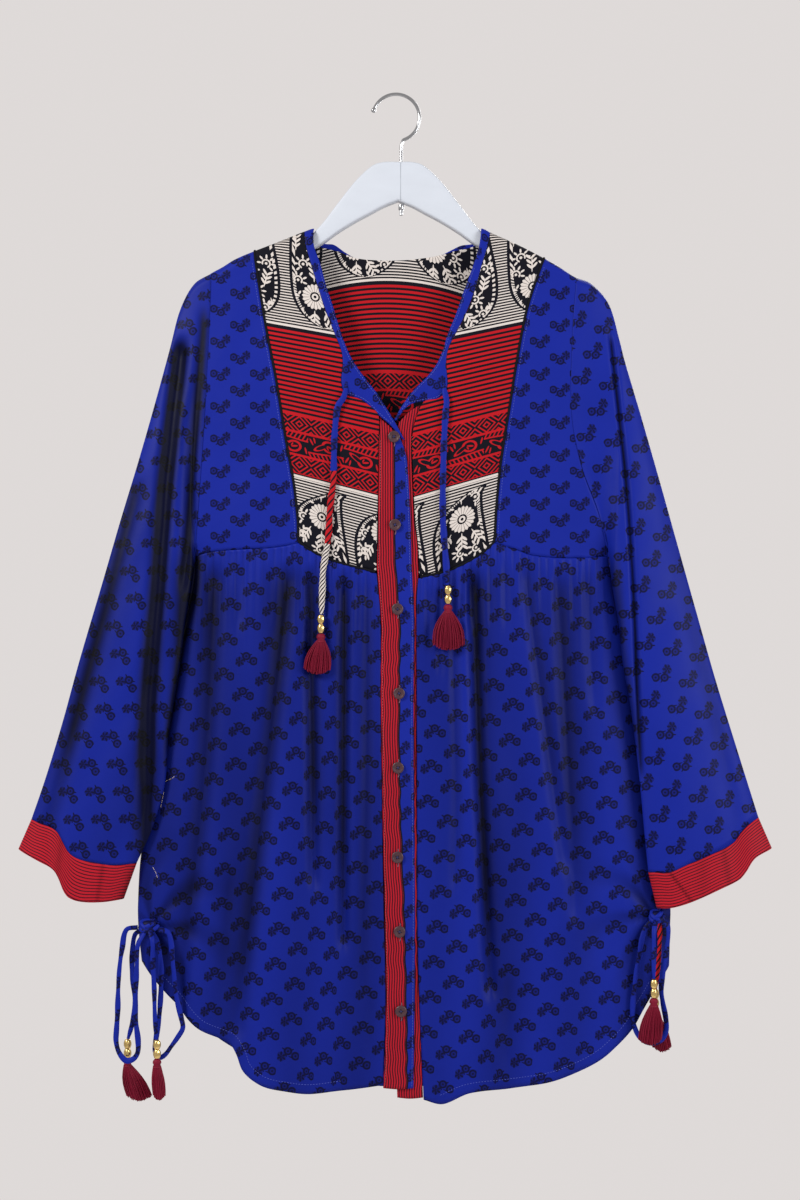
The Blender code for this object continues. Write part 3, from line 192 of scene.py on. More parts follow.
class Paint:
    """One material and the nodes that make its colour."""

    def __init__(self, name, roughness=0.6, **constants):
        self.material = bpy.data.materials.new(name)
        self.material.use_nodes = True
        self.tree = self.material.node_tree
        self.shader = self.tree.nodes["Principled BSDF"]
        self.turned_axes = {}
        self.shader.inputs["Roughness"].default_value = roughness
        for key, value in constants.items():
            self.shader.inputs[key.replace("_", " ")].default_value = value

    def feed(self, socket, value):
        """Joins another node's output to a socket, or sets it to a constant."""
        if isinstance(value, bpy.types.NodeSocket):
            self.tree.links.new(value, socket)
        else:
            socket.default_value = value

    def add(self, kind, *inputs, out=0, **settings):
        node = self.tree.nodes.new("ShaderNode" + kind)
        for key, value in settings.items():
            setattr(node, key, value)
        for socket, value in zip(node.inputs, inputs):
            self.feed(socket, value)
        return node.outputs[out]

    def maths(self, operation, *inputs):
        return self.add("Math", *inputs, operation=operation)

    def both(self, *masks):
        """The product of masks: 1 only where all are 1."""
        whole = masks[0]
        for mask in masks[1:]:
            whole = self.maths("MULTIPLY", whole, mask)
        return whole

    def either(self, *masks):
        """The greatest of masks: 1 where any is 1."""
        whole = masks[0]
        for mask in masks[1:]:
            whole = self.maths("MAXIMUM", whole, mask)
        return whole

    def switch(self, mask, inside, outside):
        """One value where the mask is 1, and another where it is 0."""
        other = self.maths("SUBTRACT", 1.0, mask)
        return self.maths("ADD", self.both(mask, inside), self.both(other, outside))

    def pair(self, x, y):
        return self.add("CombineXYZ", x, y, 0.0)

    def split(self, vector):
        node = self.add("SeparateXYZ", vector).node
        return node.outputs[0], node.outputs[1]

    def noise(self, vector, scale, detail=2.0):
        grain = self.add("TexNoise", vector)
        grain.node.inputs["Scale"].default_value = scale
        grain.node.inputs["Detail"].default_value = detail
        return grain

    def relief(self, height, strength, distance):
        """Lets the light show a height as bumps."""
        bump = self.add("Bump").node
        bump.inputs["Strength"].default_value = strength
        bump.inputs["Distance"].default_value = distance
        self.feed(bump.inputs["Height"], height)
        self.feed(self.shader.inputs["Normal"], bump.outputs[0])

    def cloth(self):
        """The cloth's own coordinates, in millimetres: a vector, and its two numbers."""
        uv = self.add("UVMap", uv_map="cloth")
        vector = self.add("VectorMath", uv, (1 / MM, 1 / MM, 1 / MM), operation="MULTIPLY")
        return vector, *self.split(vector)

    def turned(self, vector, angle):
        """The same coordinates read along axes turned by an angle in degrees."""
        key = (vector.node.name, vector.name, round(angle) % 180)
        if key not in self.turned_axes:
            c, s = math.cos(math.radians(angle)), math.sin(math.radians(angle))
            along, aside = [self.add("VectorMath", vector, axis, operation="DOT_PRODUCT", out=1)
                            for axis in ((c, s, 0), (-s, c, 0))]
            self.turned_axes[key] = self.pair(along, aside)
        return self.turned_axes[key]

    def oval(self, vector, x, y, angle, half_long, half_wide):
        """How far out a point lies from an oval's middle, where 1 is its edge."""
        c, s = math.cos(math.radians(angle)), math.sin(math.radians(angle))
        along, aside = c * x + s * y, c * y - s * x
        local = self.turned(vector, angle) if angle else vector
        local = self.add("VectorMath", local, (1 / half_long, 1 / half_wide, 0),
                         (-along / half_long, -aside / half_wide, 0), operation="MULTIPLY_ADD")
        return self.add("VectorMath", local, operation="LENGTH", out=1)

    def ovals(self, vector, rows):
        """1 inside any of the ovals, else 0. Their angles are rounded, so that they share axes."""
        rows = [(x, y, round(angle / TURN_STEP) * TURN_STEP % 180, *halves) for x, y, angle, *halves in rows]
        nearest = None
        for row in sorted(rows, key=lambda row: row[2]):
            far = self.oval(vector, *row)
            nearest = far if nearest is None else self.maths("MINIMUM", nearest, far)
        return self.maths("LESS_THAN", nearest, 1.0)

    def ring(self, vector, x, y, radius, half):
        far = self.oval(vector, x, y, 0, radius, radius)
        return self.maths("COMPARE", far, 1.0, half / radius)

    def stripes(self, value, pitch, share):
        """1 on lines across a value, each covering a share of the pitch."""
        return self.maths("LESS_THAN", self.maths("FRACT", self.maths("DIVIDE", value, pitch)), share)

    def mix(self, share, first, second):
        first, second = [(*c, 1.0) if isinstance(c, tuple) and len(c) == 3 else c for c in (first, second)]
        return self.add("MixRGB", share, first, second)

    def between(self, value, low, high):
        return self.both(self.maths("GREATER_THAN", value, low), self.maths("LESS_THAN", value, high))

    def curve(self, value, points):
        """A smooth function of a value through points that start at 0."""
        high = points[-1][0]
        node = self.add("FloatCurve").node
        shape = node.mapping.curves[0]
        heights = [y for _, y in points]
        bottom, span = min(heights), max(heights) - min(heights)
        spots = [(x / high, (y - bottom) / span) for x, y in points]
        for spot in spots[1:-1]:
            shape.points.new(*spot)
        shape.points[0].location = spots[0]
        shape.points[len(shape.points) - 1].location = spots[-1]
        node.mapping.update()
        self.feed(node.inputs[1], self.maths("DIVIDE", value, high))
        return self.maths("MULTIPLY_ADD", node.outputs[0], span, bottom)

    def finish(self, colour, rough=(0.5, 0.72)):
        """Colour with slow wear and painted shade in the hollows, a fine weave in the bump, and uneven
        roughness.
        """
        _, x, y = self.cloth()
        place_now = self.add("TexCoord", out=3)
        slow = self.noise(place_now, WEAR_SCALE, WEAR_DETAIL)
        # Painted shade: a value stored on each point of the piece darkens its colour in folds, gathers and
        # under the arms.
        painted_shade = self.add("Attribute", out=2, attribute_name="painted_shade")
        wear_and_painted_shade = self.both(self.maths("MULTIPLY_ADD", slow, 2 * WEAR, 1 - WEAR),
                          self.maths("MULTIPLY_ADD", painted_shade, -HOLLOW_DARK, 1.0))
        worn_and_shaded = self.add("VectorMath", colour, operation="SCALE")
        self.feed(worn_and_shaded.node.inputs["Scale"], wear_and_painted_shade)
        self.feed(self.shader.inputs["Base Color"], worn_and_shaded)
        low, high = rough
        self.feed(self.shader.inputs["Roughness"], self.maths("MULTIPLY_ADD", slow, high - low, low))
        wave = math.tau / WEAVE_PITCH
        warp, weft = [self.maths("SINE", self.maths("MULTIPLY", value, wave)) for value in (x, y)]
        crease = self.noise(place_now, CREASE_SCALE, CREASE_DETAIL)
        height = self.maths("MULTIPLY_ADD", self.both(warp, weft), WEAVE_SHARE, crease)
        self.relief(height, CLOTH_BUMP, CLOTH_RELIEF)
        return self.material


# %% [markdown]
# ## The cloths
#
# The body is blue cotton block-printed with a small dark sprig: two ringed flowers on a curled
# stem beside a spray of leaves, in a half-drop repeat. The yoke is cut from a border print with
# cream, red and black bands, and the placket and cuffs from a fine red and black stripe.

# %% Blue sprig cloth
BLUE, NAVY, INK = (0.0065, 0.0175, 0.275), (0.003, 0.0035, 0.04), (0.005, 0.005, 0.010)
RED, CREAM = (0.45, 0.008, 0.014), (0.66, 0.60, 0.56)
SPRIG_WIDE, SPRIG_HIGH, SPRIG_SCALE, SPRIG_SHIFT = 20.0, 32.5, 0.93, -0.4
# across, down, angle, half length, half width
SPRIG_LEAVES = [
    (5.6, -5, 90, 1.9, 0.9), (8, -3.8, -35, 1.9, 0.9), (8.2, -1.2, 25, 1.8, 0.85),
    (5.9, 0.4, 85, 1.8, 0.85), (3.3, -1, -30, 1.8, 0.85), (3.2, -3.6, 30, 1.8, 0.85),
    (5.8, -2.3, 0, 0.8, 0.8), (-6.6, -0.6, 0, 0.9, 0.9), (0.2, 3, 0, 0.9, 0.9), (-2.6, -1.9, 20, 2.2, 0.5),
    (-3.2, 4.4, -30, 1.8, 0.6), (4.2, 4.6, 35, 1.7, 0.6), (1.4, -0.8, 60, 1.6, 0.5),
]
SPRIG_RINGS = [(-6.6, -0.6, 2.9, 0.75), (0.2, 3.0, 2.8, 0.75)]
SPRIG_STAIN = [(-6.5, -0.5, 0, 4.0, 3.8), (0.3, 3.0, 0, 4.0, 3.6), (5.8, -2.2, 0, 4.3, 4.1)]
STAIN_SHARE, PATCH_SCALE, PATCH_SHARE = 0.5, 0.4, 0.4


def sprig_colour(paint, vector, x, y):
    """Blue with the dark sprig in a half-drop repeat."""
    column = paint.maths("FLOOR", paint.maths("MULTIPLY_ADD", x, 1 / SPRIG_WIDE, 0.5))
    odd = paint.maths("MODULO", paint.maths("ABSOLUTE", column), 2.0)
    drop = paint.maths("MULTIPLY_ADD", odd, SPRIG_HIGH / 2, y)
    local = paint.pair(paint.maths("WRAP", x, SPRIG_WIDE / 2, -SPRIG_WIDE / 2),
                       paint.maths("WRAP", drop, SPRIG_HIGH / 2, -SPRIG_HIGH / 2))
    local = paint.add("VectorMath", local, (SPRIG_SCALE, SPRIG_SCALE, 0), (SPRIG_SHIFT, 0, 0),
                      operation="MULTIPLY_ADD")
    ink = paint.either(paint.ovals(local, SPRIG_LEAVES), *[paint.ring(local, *ring) for ring in SPRIG_RINGS])
    ink = paint.either(ink, paint.both(paint.ovals(local, SPRIG_STAIN), STAIN_SHARE))
    patchy = paint.noise(vector, PATCH_SCALE)
    ink = paint.both(ink, paint.maths("MULTIPLY_ADD", patchy, PATCH_SHARE, 1 - PATCH_SHARE / 2))
    return paint.mix(ink, BLUE, NAVY)


sprig_paint = Paint("blue_sprig_cotton", Specular_IOR_Level=0.1)
blue_cloth = sprig_paint.finish(sprig_colour(sprig_paint, *sprig_paint.cloth()), rough=(0.42, 0.6))

# %% [markdown]
# The border print repeats three things: a large paisley with a rayed flower, curls and leaf
# sprays, bands of nested diamonds, and a vine of small paisleys. They are built from ovals and
# rings laid out one by one, so the print is a common traditional one and copies no single cloth.

# %% Border print
DROP_PITCH, LOWER_PITCH, LOWER_JOIN, DIAMOND_WIDE, VINE_WIDE = 78.0, 62.0, 0.5, 23.6, 35.6
PLAIN_START, THICK_END, RED_START, STRIPE_PITCH, STRIPE_SHARE = 1.6, 4.0, 5.5, 4.92, 0.47
LINE_PITCH, LINE_SHARE = 2.9, 0.56
BAND_ENDS = (94.0, 111.0, 135.0, 154.0, 155.4)
LOWER_PLAIN, LOWER_TOP = 2.4, 7.0
EYE, LOWER_EYE = (-11.0, -31.0), (-4.0, 36.5)
DROP_LEFT = [(0, 0), (3, -12), (8, -20), (18, -29), (32, -34.5), (50, -36.5), (75, -37), (110, -36)]
DROP_RIGHT = [(0, 2), (2, 10), (5, 16), (10, 23), (18, 29), (28, 32), (45, 32), (60, 30), (75, 27), (110, 20)]
LOWER_LEFT = [
    (0, 26), (8, 21), (10, 9), (14, 0), (19, -9), (27, -20), (34, -25), (46, -29), (60, -29.5), (78, -27),
    (110, -24),
]
LOWER_RIGHT = [(0, 26), (8, 25), (12, 22.5), (19, 20.5), (30, 21), (42, 22.5), (64, 26), (79, 28), (110, 28)]
PETALS, PETAL_SHARE, PETAL_TIP, PETAL_DIP, PETAL_START, EYE_RING = 19, 0.43, 13.2, -3.4, 4.9, (1.5, 3.3)
# The black outline of a paisley, the fringe inside it, and the room that both leave the flower.
OUTLINE_WIDE, FRINGE_END, FRINGE_COUNT, LEAF_FROM, FRINGE_FROM = 2.9, 5.8, 52, 13.9, 15.5
DIAMOND_SHIFT, DIAMOND_SLOPE, DIAMOND_CORE = 3.0, 1.1, 0.9
DIAMOND_PITCH, DIAMOND_SHARE, DIAMOND_RIM = 5.1, 0.62, 0.9
STEM_HALF, STEM_LEAN, STEM_AT, VINE_RIM, DROP_LINE = 0.75, -1.2, 5.2, 10.6, 0.19
COMB_LEAN, COMB_PITCH, COMB_SHARE = -0.55, 4.3, 0.36
VINE_DROP = [(3.5, -3.2, 15, 6.6, 5.0), (-4.5, -1.4, -30, 7.5, 2.2)]
VINE_SEED = [(4.2, -3.2, 15, 3.4, 0.9), (1.8, -1.6, 60, 1.9, 0.7)]
VINE_TUFT = [(-14.5, -5, 60, 3.6, 0.9), (-11.5, -7, 75, 3, 0.8), (15.5, -5.5, 110, 3.4, 0.9)]


def spray(x, y, angle, leaves, pitch, size):
    """A stem with a leaf to each side at every step, as rows for ovals."""
    turn = math.radians(angle)
    length = leaves * pitch

    def ahead(far, out=0.0, beyond=0.0):
        return (x + math.cos(turn) * far + math.cos(out) * beyond,
                y + math.sin(turn) * far + math.sin(out) * beyond)

    rows = [(*ahead(length / 2), angle, length / 2, 0.7)]
    for k in range(leaves):
        for out in (turn - 0.8, turn + 0.8):
            spot = ahead((k + 0.8) * pitch, out, size * 1.1)
            rows.append((*spot, math.degrees(out), size * 1.12, size * 0.37))
    return rows


def curl(x, y, radius, start, sweep, fringe=2.3):
    """A curl of stem with short petals fanned round its outside, as rows for ovals."""
    rows = [(x, y, 0, radius * 0.36, radius * 0.36)]
    count = max(3, round(abs(sweep) / 45))
    for k in range(count):
        turn = start + sweep * (k + 0.5) / count
        c, s = math.cos(math.radians(turn)), math.sin(math.radians(turn))
        tip = radius + fringe + 1.1
        rows.append((x + c * radius, y + s * radius, turn + 90, radius * 0.5, 0.85))
        rows.append((x + c * tip, y + s * tip, turn, fringe, 1.0))
    return rows


PAISLEY_LEAVES = (
    # below the flower: a fan of three leafy stems
    spray(-1, 14, 84, 3, 4.6, 3.3) + spray(9, 13, 55, 3, 4.8, 3.1) + spray(-11, 12, 118, 3, 4.6, 3.0)
    # beside it, and up towards the tip
    + curl(-18.5, 4, 3.4, 90, 230) + curl(20, 3, 3.6, 250, 250) + curl(-17, -15, 3.8, 150, 250)
    + spray(0, -15, -96, 3, 5.2, 3.3) + curl(13, -19, 4.0, 200, 270) + curl(-12, -32, 4.0, 110, 270)
    + spray(11, -31, -72, 3, 4.8, 3.0) + curl(28, 19, 3.6, 150, 260) + curl(14, 33, 3.4, 30, 240)
    + spray(27, -2, -78, 3, 4.8, 3.1) + curl(29, -27, 3.8, 160, 270) + curl(1, -46, 4.2, 60, 290)
    + spray(34, 8, 80, 2, 4.6, 2.6) + spray(-20, -45, -85, 3, 5.0, 2.8) + curl(20, -52, 4.0, 120, 280)
    + curl(-19, 22, 3.2, 60, 240) + curl(-2, 34, 3.0, 10, 250)
)


def flower_ink(paint, vector):
    """A rayed flower round an eye, with the distance and angle from its middle."""
    far = paint.add("VectorMath", vector, operation="LENGTH", out=1)
    x, y = paint.split(vector)
    angle = paint.maths("ARCTAN2", y, x)
    rays = paint.maths("FRACT", paint.maths("MULTIPLY", angle, PETALS / math.tau))
    aside = paint.maths("ABSOLUTE", paint.maths("SUBTRACT", rays, 0.5))
    tip = paint.maths("MULTIPLY_ADD", aside, PETAL_DIP, PETAL_TIP)
    petals = paint.both(paint.maths("LESS_THAN", far, tip), paint.maths("GREATER_THAN", far, PETAL_START),
                        paint.maths("LESS_THAN", aside, PETAL_SHARE))
    return paint.either(petals, paint.between(far, *EYE_RING)), far, angle


def paisley_cream(paint, p, q):
    """The dark on the cream: paisleys above the red band and below it, on fine lines."""
    m = paint.maths
    upper = m("LESS_THAN", q, 0.0)
    x_upper = m("WRAP", p, DROP_PITCH / 2, -DROP_PITCH / 2)
    half = LOWER_PITCH / 2
    x_lower = m("WRAP", m("SUBTRACT", p, LOWER_EYE[0]), LOWER_JOIN + half, LOWER_JOIN - half)
    rise, fall = m("MULTIPLY", q, -1.0), m("SUBTRACT", q, BAND_ENDS[4])

    def room_in(value, x, left, right):
        after = m("SUBTRACT", x, paint.curve(value, left))
        return m("MINIMUM", after, m("SUBTRACT", paint.curve(value, right), x))

    room_upper = room_in(rise, x_upper, DROP_LEFT, DROP_RIGHT)
    room_lower = m("MINIMUM", room_in(fall, x_lower, LOWER_LEFT, LOWER_RIGHT), m("SUBTRACT", fall, LOWER_TOP))
    room = paint.switch(upper, room_upper, room_lower)
    local = paint.pair(paint.switch(upper, m("SUBTRACT", x_upper, EYE[0]), x_lower),
                       paint.switch(upper, m("SUBTRACT", q, EYE[1]), m("SUBTRACT", fall, LOWER_EYE[1])))
    flower, far, angle = flower_ink(paint, local)
    leaves = paint.both(paint.ovals(local, PAISLEY_LEAVES), m("GREATER_THAN", far, LEAF_FROM))
    fringe = paint.both(paint.stripes(angle, math.tau / FRINGE_COUNT, 0.5),
                        paint.between(room, OUTLINE_WIDE, FRINGE_END), m("GREATER_THAN", far, FRINGE_FROM))
    motif = paint.both(paint.either(flower, fringe, leaves), m("GREATER_THAN", room, OUTLINE_WIDE))
    lines = paint.stripes(q, LINE_PITCH, LINE_SHARE)
    return paint.switch(m("GREATER_THAN", room, 0.0), m("SUBTRACT", 1.0, motif), lines)


def diamonds(paint, p, q, start, end):
    """A band of diamonds nested in each other."""
    m = paint.maths
    x = m("ABSOLUTE", m("WRAP", m("ADD", p, DIAMOND_SHIFT), DIAMOND_WIDE / 2, -DIAMOND_WIDE / 2))
    y = m("ABSOLUTE", m("SUBTRACT", q, (start + end) / 2))
    far_out = m("ADD", m("MULTIPLY_ADD", y, DIAMOND_SLOPE, x), DIAMOND_CORE)
    return paint.both(paint.stripes(far_out, DIAMOND_PITCH, DIAMOND_SHARE),
                      m("LESS_THAN", y, (end - start) / 2 - DIAMOND_RIM))


def vine_dark(paint, p, q, start, end):
    """A vine: small paisleys that hang from a stem, every second one upside down."""
    m = paint.maths
    cell = m("FLOOR", m("DIVIDE", m("ADD", p, VINE_WIDE / 2), VINE_WIDE))
    flip = m("MULTIPLY_ADD", m("MODULO", m("ABSOLUTE", cell), 2.0), -2.0, 1.0)
    x = m("WRAP", p, VINE_WIDE / 2, -VINE_WIDE / 2)
    y = m("MULTIPLY", m("SUBTRACT", q, (start + end) / 2), flip)
    vine = paint.pair(x, y)
    drop = m("MINIMUM", *[paint.oval(vine, *row) for row in VINE_DROP])
    outline = paint.either(m("COMPARE", drop, 1.0, DROP_LINE), paint.ovals(vine, VINE_SEED))
    stem_y = m("MULTIPLY_ADD", m("SINE", m("MULTIPLY", x, math.pi / VINE_WIDE)), STEM_LEAN, STEM_AT)
    comb = paint.both(paint.stripes(m("MULTIPLY_ADD", y, COMB_LEAN, x), COMB_PITCH, COMB_SHARE),
                      m("GREATER_THAN", y, stem_y))
    red_ink = paint.either(paint.either(outline, m("COMPARE", y, stem_y, STEM_HALF)),
                           paint.either(comb, m("GREATER_THAN", m("ABSOLUTE", y), VINE_RIM)))
    return m("SUBTRACT", 1.0, paint.either(red_ink, paint.ovals(vine, VINE_TUFT)))


def border_cloth(name):
    """The border print: its line of origin is the foot of the upper paisleys."""
    paint = Paint(name, Sheen_Weight=0.02, Sheen_Roughness=0.5, Specular_IOR_Level=0.08)
    _, p, q = paint.cloth()
    cream_dark = paisley_cream(paint, p, q)
    red_dark = paint.stripes(paint.maths("SUBTRACT", q, RED_START), STRIPE_PITCH, STRIPE_SHARE)
    bands = [
        (paint.maths("LESS_THAN", q, PLAIN_START), cream_dark),
        (paint.between(q, THICK_END, RED_START), 1.0),
        (paint.between(q, RED_START, BAND_ENDS[0]), red_dark),
        (paint.between(q, *BAND_ENDS[0:2]), diamonds(paint, p, q, *BAND_ENDS[0:2])),
        (paint.between(q, *BAND_ENDS[1:3]), vine_dark(paint, p, q, *BAND_ENDS[1:3])),
        (paint.between(q, *BAND_ENDS[2:4]), diamonds(paint, p, q, *BAND_ENDS[2:4])),
        (paint.between(q, *BAND_ENDS[3:5]), 1.0),
        (paint.maths("GREATER_THAN", q, BAND_ENDS[4] + LOWER_PLAIN), cream_dark),
    ]
    dark = 0.0
    for mask, value in bands:
        dark = paint.maths("MULTIPLY_ADD", mask, value, dark)
    ground = paint.mix(paint.between(q, THICK_END, BAND_ENDS[4]), CREAM, RED)
    return paint.finish(paint.mix(dark, ground, INK), rough=(0.55, 0.75))


print_cloth = border_cloth("border_print_cotton")
print("ovals in a paisley:", len(PAISLEY_LEAVES))

# %% [markdown]
# The placket and cuffs are a fine stripe in red and near black. Printed lines are never quite
# even, so a slow noise shifts them a little.

# %% Red stripe, and the placket's blue edge
STRIPE_RED, STRIPE_DARK = (0.44, 0.010, 0.022), (0.06, 0.004, 0.012)
CUFF_PITCH, FINE_PITCH, CUFF_SHARE, FINE_SHARE = 2.9, 2.5, 0.34, 0.48
WOBBLE_SCALE, WOBBLE, EDGE_LINE = 0.08, 0.8, 1.6


def stripe_cloth(name, across_first, pitch, share, edge=None):
    """Fine stripes along the cloth. Past the edge, if there is one, the blue sprig cloth shows."""
    paint = Paint(name, Sheen_Weight=0.02, Sheen_Roughness=0.5, Specular_IOR_Level=0.1)
    vector, x, y = paint.cloth()
    value = x if across_first else y
    uneven = paint.maths("MULTIPLY_ADD", paint.noise(vector, WOBBLE_SCALE), WOBBLE, value)
    colour = paint.mix(paint.stripes(uneven, pitch, share), STRIPE_RED, STRIPE_DARK)
    if edge is not None:
        colour = paint.mix(paint.maths("GREATER_THAN", value, edge - EDGE_LINE), colour, INK)
        blue = sprig_colour(paint, vector, x, y)
        colour = paint.mix(paint.maths("GREATER_THAN", value, edge), colour, blue)
    return paint.finish(colour, rough=(0.5, 0.7))


placket_cloth = stripe_cloth("placket_stripe_cotton", True, FINE_PITCH, FINE_SHARE, edge=0.0)
under_cloth = stripe_cloth("under_placket_stripe_cotton", True, FINE_PITCH, FINE_SHARE)
cuff_cloth = stripe_cloth("cuff_stripe_cotton", False, CUFF_PITCH, CUFF_SHARE)

# %% [markdown]
# The ties are folded strips of the same cloths. The right one is pieced: blue, then a length of
# the red stripe cut on the bias, then cream stripe. Thread, shell, gold, chrome and painted wood
# follow, each with its own grain or sheen.

# %% Trims and hard finishes
BIAS, RED_BIAS, CREAM_BIAS = 1.9, (8.0, 0.36), (4.6, 0.42)
GRAIN_DETAIL, GRAIN_BUMP = 5.0, 0.5


def tie_cloth(name, red_from, cream_from):
    """A strip of blue sprig that goes over to red stripe, and then cream, at lengths along it."""
    paint = Paint(name, Sheen_Weight=0.02, Sheen_Roughness=0.5, Specular_IOR_Level=0.1)
    vector, x, y = paint.cloth()
    slant = paint.maths("MULTIPLY_ADD", x, BIAS, y)
    red = paint.mix(paint.stripes(slant, *RED_BIAS), RED, INK)
    cream = paint.mix(paint.stripes(slant, *CREAM_BIAS), CREAM, INK)
    colour = paint.mix(paint.maths("GREATER_THAN", y, red_from), sprig_colour(paint, vector, x, y), red)
    return paint.finish(paint.mix(paint.maths("GREATER_THAN", y, cream_from), colour, cream))


def plain(name, colour, roughness, scale, depth, vary=0.15, stretch=(1, 1, 1), **constants):
    """One colour with a grain: noise stretched along the grain varies tone, gloss and bump."""
    paint = Paint(name, roughness, **constants)
    where = paint.add("Mapping", paint.add("TexCoord", out=3), (0, 0, 0), (0, 0, 0), stretch)
    grain = paint.noise(where, scale, GRAIN_DETAIL)
    dark = tuple(c * (1 - vary) for c in colour)
    light = tuple(min(1, c * (1 + vary)) for c in colour)
    paint.feed(paint.shader.inputs["Base Color"], paint.mix(grain, dark, light))
    paint.feed(paint.shader.inputs["Roughness"],
               paint.maths("MULTIPLY_ADD", grain, roughness * 0.4, roughness * 0.8))
    paint.relief(grain, GRAIN_BUMP, depth)
    return paint.material


pieced_tie = tie_cloth("pieced_tie_cotton", 92.0, 165.0)
striped_cord = tie_cloth("striped_cord_cotton", 0.0, 400.0)
piping_cloth = plain("black_piping_cotton", (0.006, 0.006, 0.009), 0.8, 900, 0.0003, 0.4,
                     Specular_IOR_Level=0.1)
thread_blue = plain("pale_blue_thread", (0.07, 0.10, 0.5), 0.55, 2500, 0.0001, 0.2, Sheen_Weight=0.3)
thread_dark = plain("navy_thread", (0.012, 0.016, 0.12), 0.55, 2500, 0.0001, 0.2)
thread_red = plain("rose_thread", (0.5, 0.09, 0.11), 0.55, 2500, 0.0001, 0.2)
thread_mauve = plain("mauve_thread", (0.16, 0.09, 0.13), 0.6, 2500, 0.0001, 0.3)
thread_pale = plain("undyed_thread", (0.62, 0.5, 0.42), 0.6, 2500, 0.0001, 0.2)
shell = plain("coconut_shell", (0.062, 0.026, 0.034), 0.33, 420, 0.0002, 0.8, (1, 1, 5),
              Specular_IOR_Level=0.45)
gold = plain("gold_metal", (0.86, 0.62, 0.24), 0.24, 300, 0.0002, 0.12, Metallic=1.0)
burgundy = plain("burgundy_thread", (0.19, 0.007, 0.026), 0.55, 900, 0.0002, 0.45, (1, 1, 0.1),
                 Specular_IOR_Level=0.15)
white_paint = plain("white_painted_wood", (0.60, 0.64, 0.71), 0.32, 30, 0.0003, 0.04, (1, 1, 3),
                    Coat_Weight=0.25, Coat_Roughness=0.2)
grey_line = plain("joint_shadow", (0.34, 0.37, 0.42), 0.6, 200, 0.0001)
chrome = plain("chrome_wire", (0.5, 0.51, 0.53), 0.16, 60, 0.00003, 0.04, Metallic=1.0)

# %% [markdown]
# ## Making a piece
#
# Cloth, cord and ribbon all start as a flat grid. The grid's own shares across and down are bent
# by a function into the piece's place, and the same shares give the UV map. A Solidify modifier
# then gives a cloth its thickness, inwards from the face that shows.

# %% Helpers for pieces
CLOTH_THICK, WELD = 1.0, 1e-6
made_pieces = {}


def keep(piece, node):
    """Rides a piece on the body and hides the node that it stands for, if it has one."""
    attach(piece, "root")
    if node:
        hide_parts(node)
    made_pieces[piece.name] = piece
    return piece


def to_object(name, bm, material, crease=60):
    mesh = bpy.data.meshes.new(name)
    bm.to_mesh(mesh)
    bm.free()
    mesh.shade_smooth()
    mesh.set_sharp_from_angle(angle=math.radians(crease))
    mesh.materials.append(material)
    piece = bpy.data.objects.new(name, mesh)
    bpy.context.scene.collection.objects.link(piece)
    return piece


def bent_grid(surface, columns, rows, cloth, tube=False, places=None, painted_shade=None):
    """A grid of faces in its place, with the cloth's millimetres as its UV map."""
    bm = bmesh.new()
    bmesh.ops.create_grid(bm, x_segments=columns, y_segments=rows, size=0.5)
    bm.verts.ensure_lookup_table()
    u, v = (np.array([vert.co[:2] for vert in bm.verts]) + 0.5).T
    if places is not None:
        v = np.interp(v, np.linspace(0, 1, len(places)), places)
    spots, print_at = surface(u, v), cloth(u, v)
    layer = bm.loops.layers.uv.new("cloth")
    for face in bm.faces:
        for loop in face.loops:
            loop[layer].uv = print_at[loop.vert.index] * MM
    # Painted shade: a value per point, from 0 to 1, by which the cloth's material darkens its colour.
    if painted_shade is not None:
        depth = bm.verts.layers.float.new("painted_shade")
        for vert, value in zip(bm.verts, np.clip(painted_shade(u, v), 0, 1)):
            vert[depth] = value
    for vert, spot in zip(bm.verts, spots):
        vert.co = spot
    if tube:
        bmesh.ops.remove_doubles(bm, verts=bm.verts, dist=WELD)
    return bm


def face_out(bm, facing):
    """Turns the faces so that the front of a front piece, or the back of a back one, looks outwards."""
    bm.normal_update()
    extreme = max(bm.faces, key=lambda face: facing * face.calc_center_median().y + 0.01 * abs(face.normal.y))
    if extreme.normal.y * facing < 0:
        bmesh.ops.reverse_faces(bm, faces=bm.faces)
    return bm


def cloth_piece(node, surface, columns, rows, material, facing, cloth, tube=False, places=None,
                painted_shade=None):
    """A bent grid with the cloth's thickness, which stands for a node."""
    bm = face_out(bent_grid(surface, columns, rows, cloth, tube, places, painted_shade), facing)
    piece = to_object(node + "_cloth", bm, material)
    wall = piece.modifiers.new("cloth thickness", "SOLIDIFY")
    wall.thickness = CLOTH_THICK * MM
    wall.offset = -1
    return keep(piece, node)


def close_ends(bm, sides):
    bmesh.ops.holes_fill(bm, edges=[edge for edge in bm.edges if edge.is_boundary], sides=sides + 2)
    bmesh.ops.recalc_face_normals(bm, faces=bm.faces)
    return bm


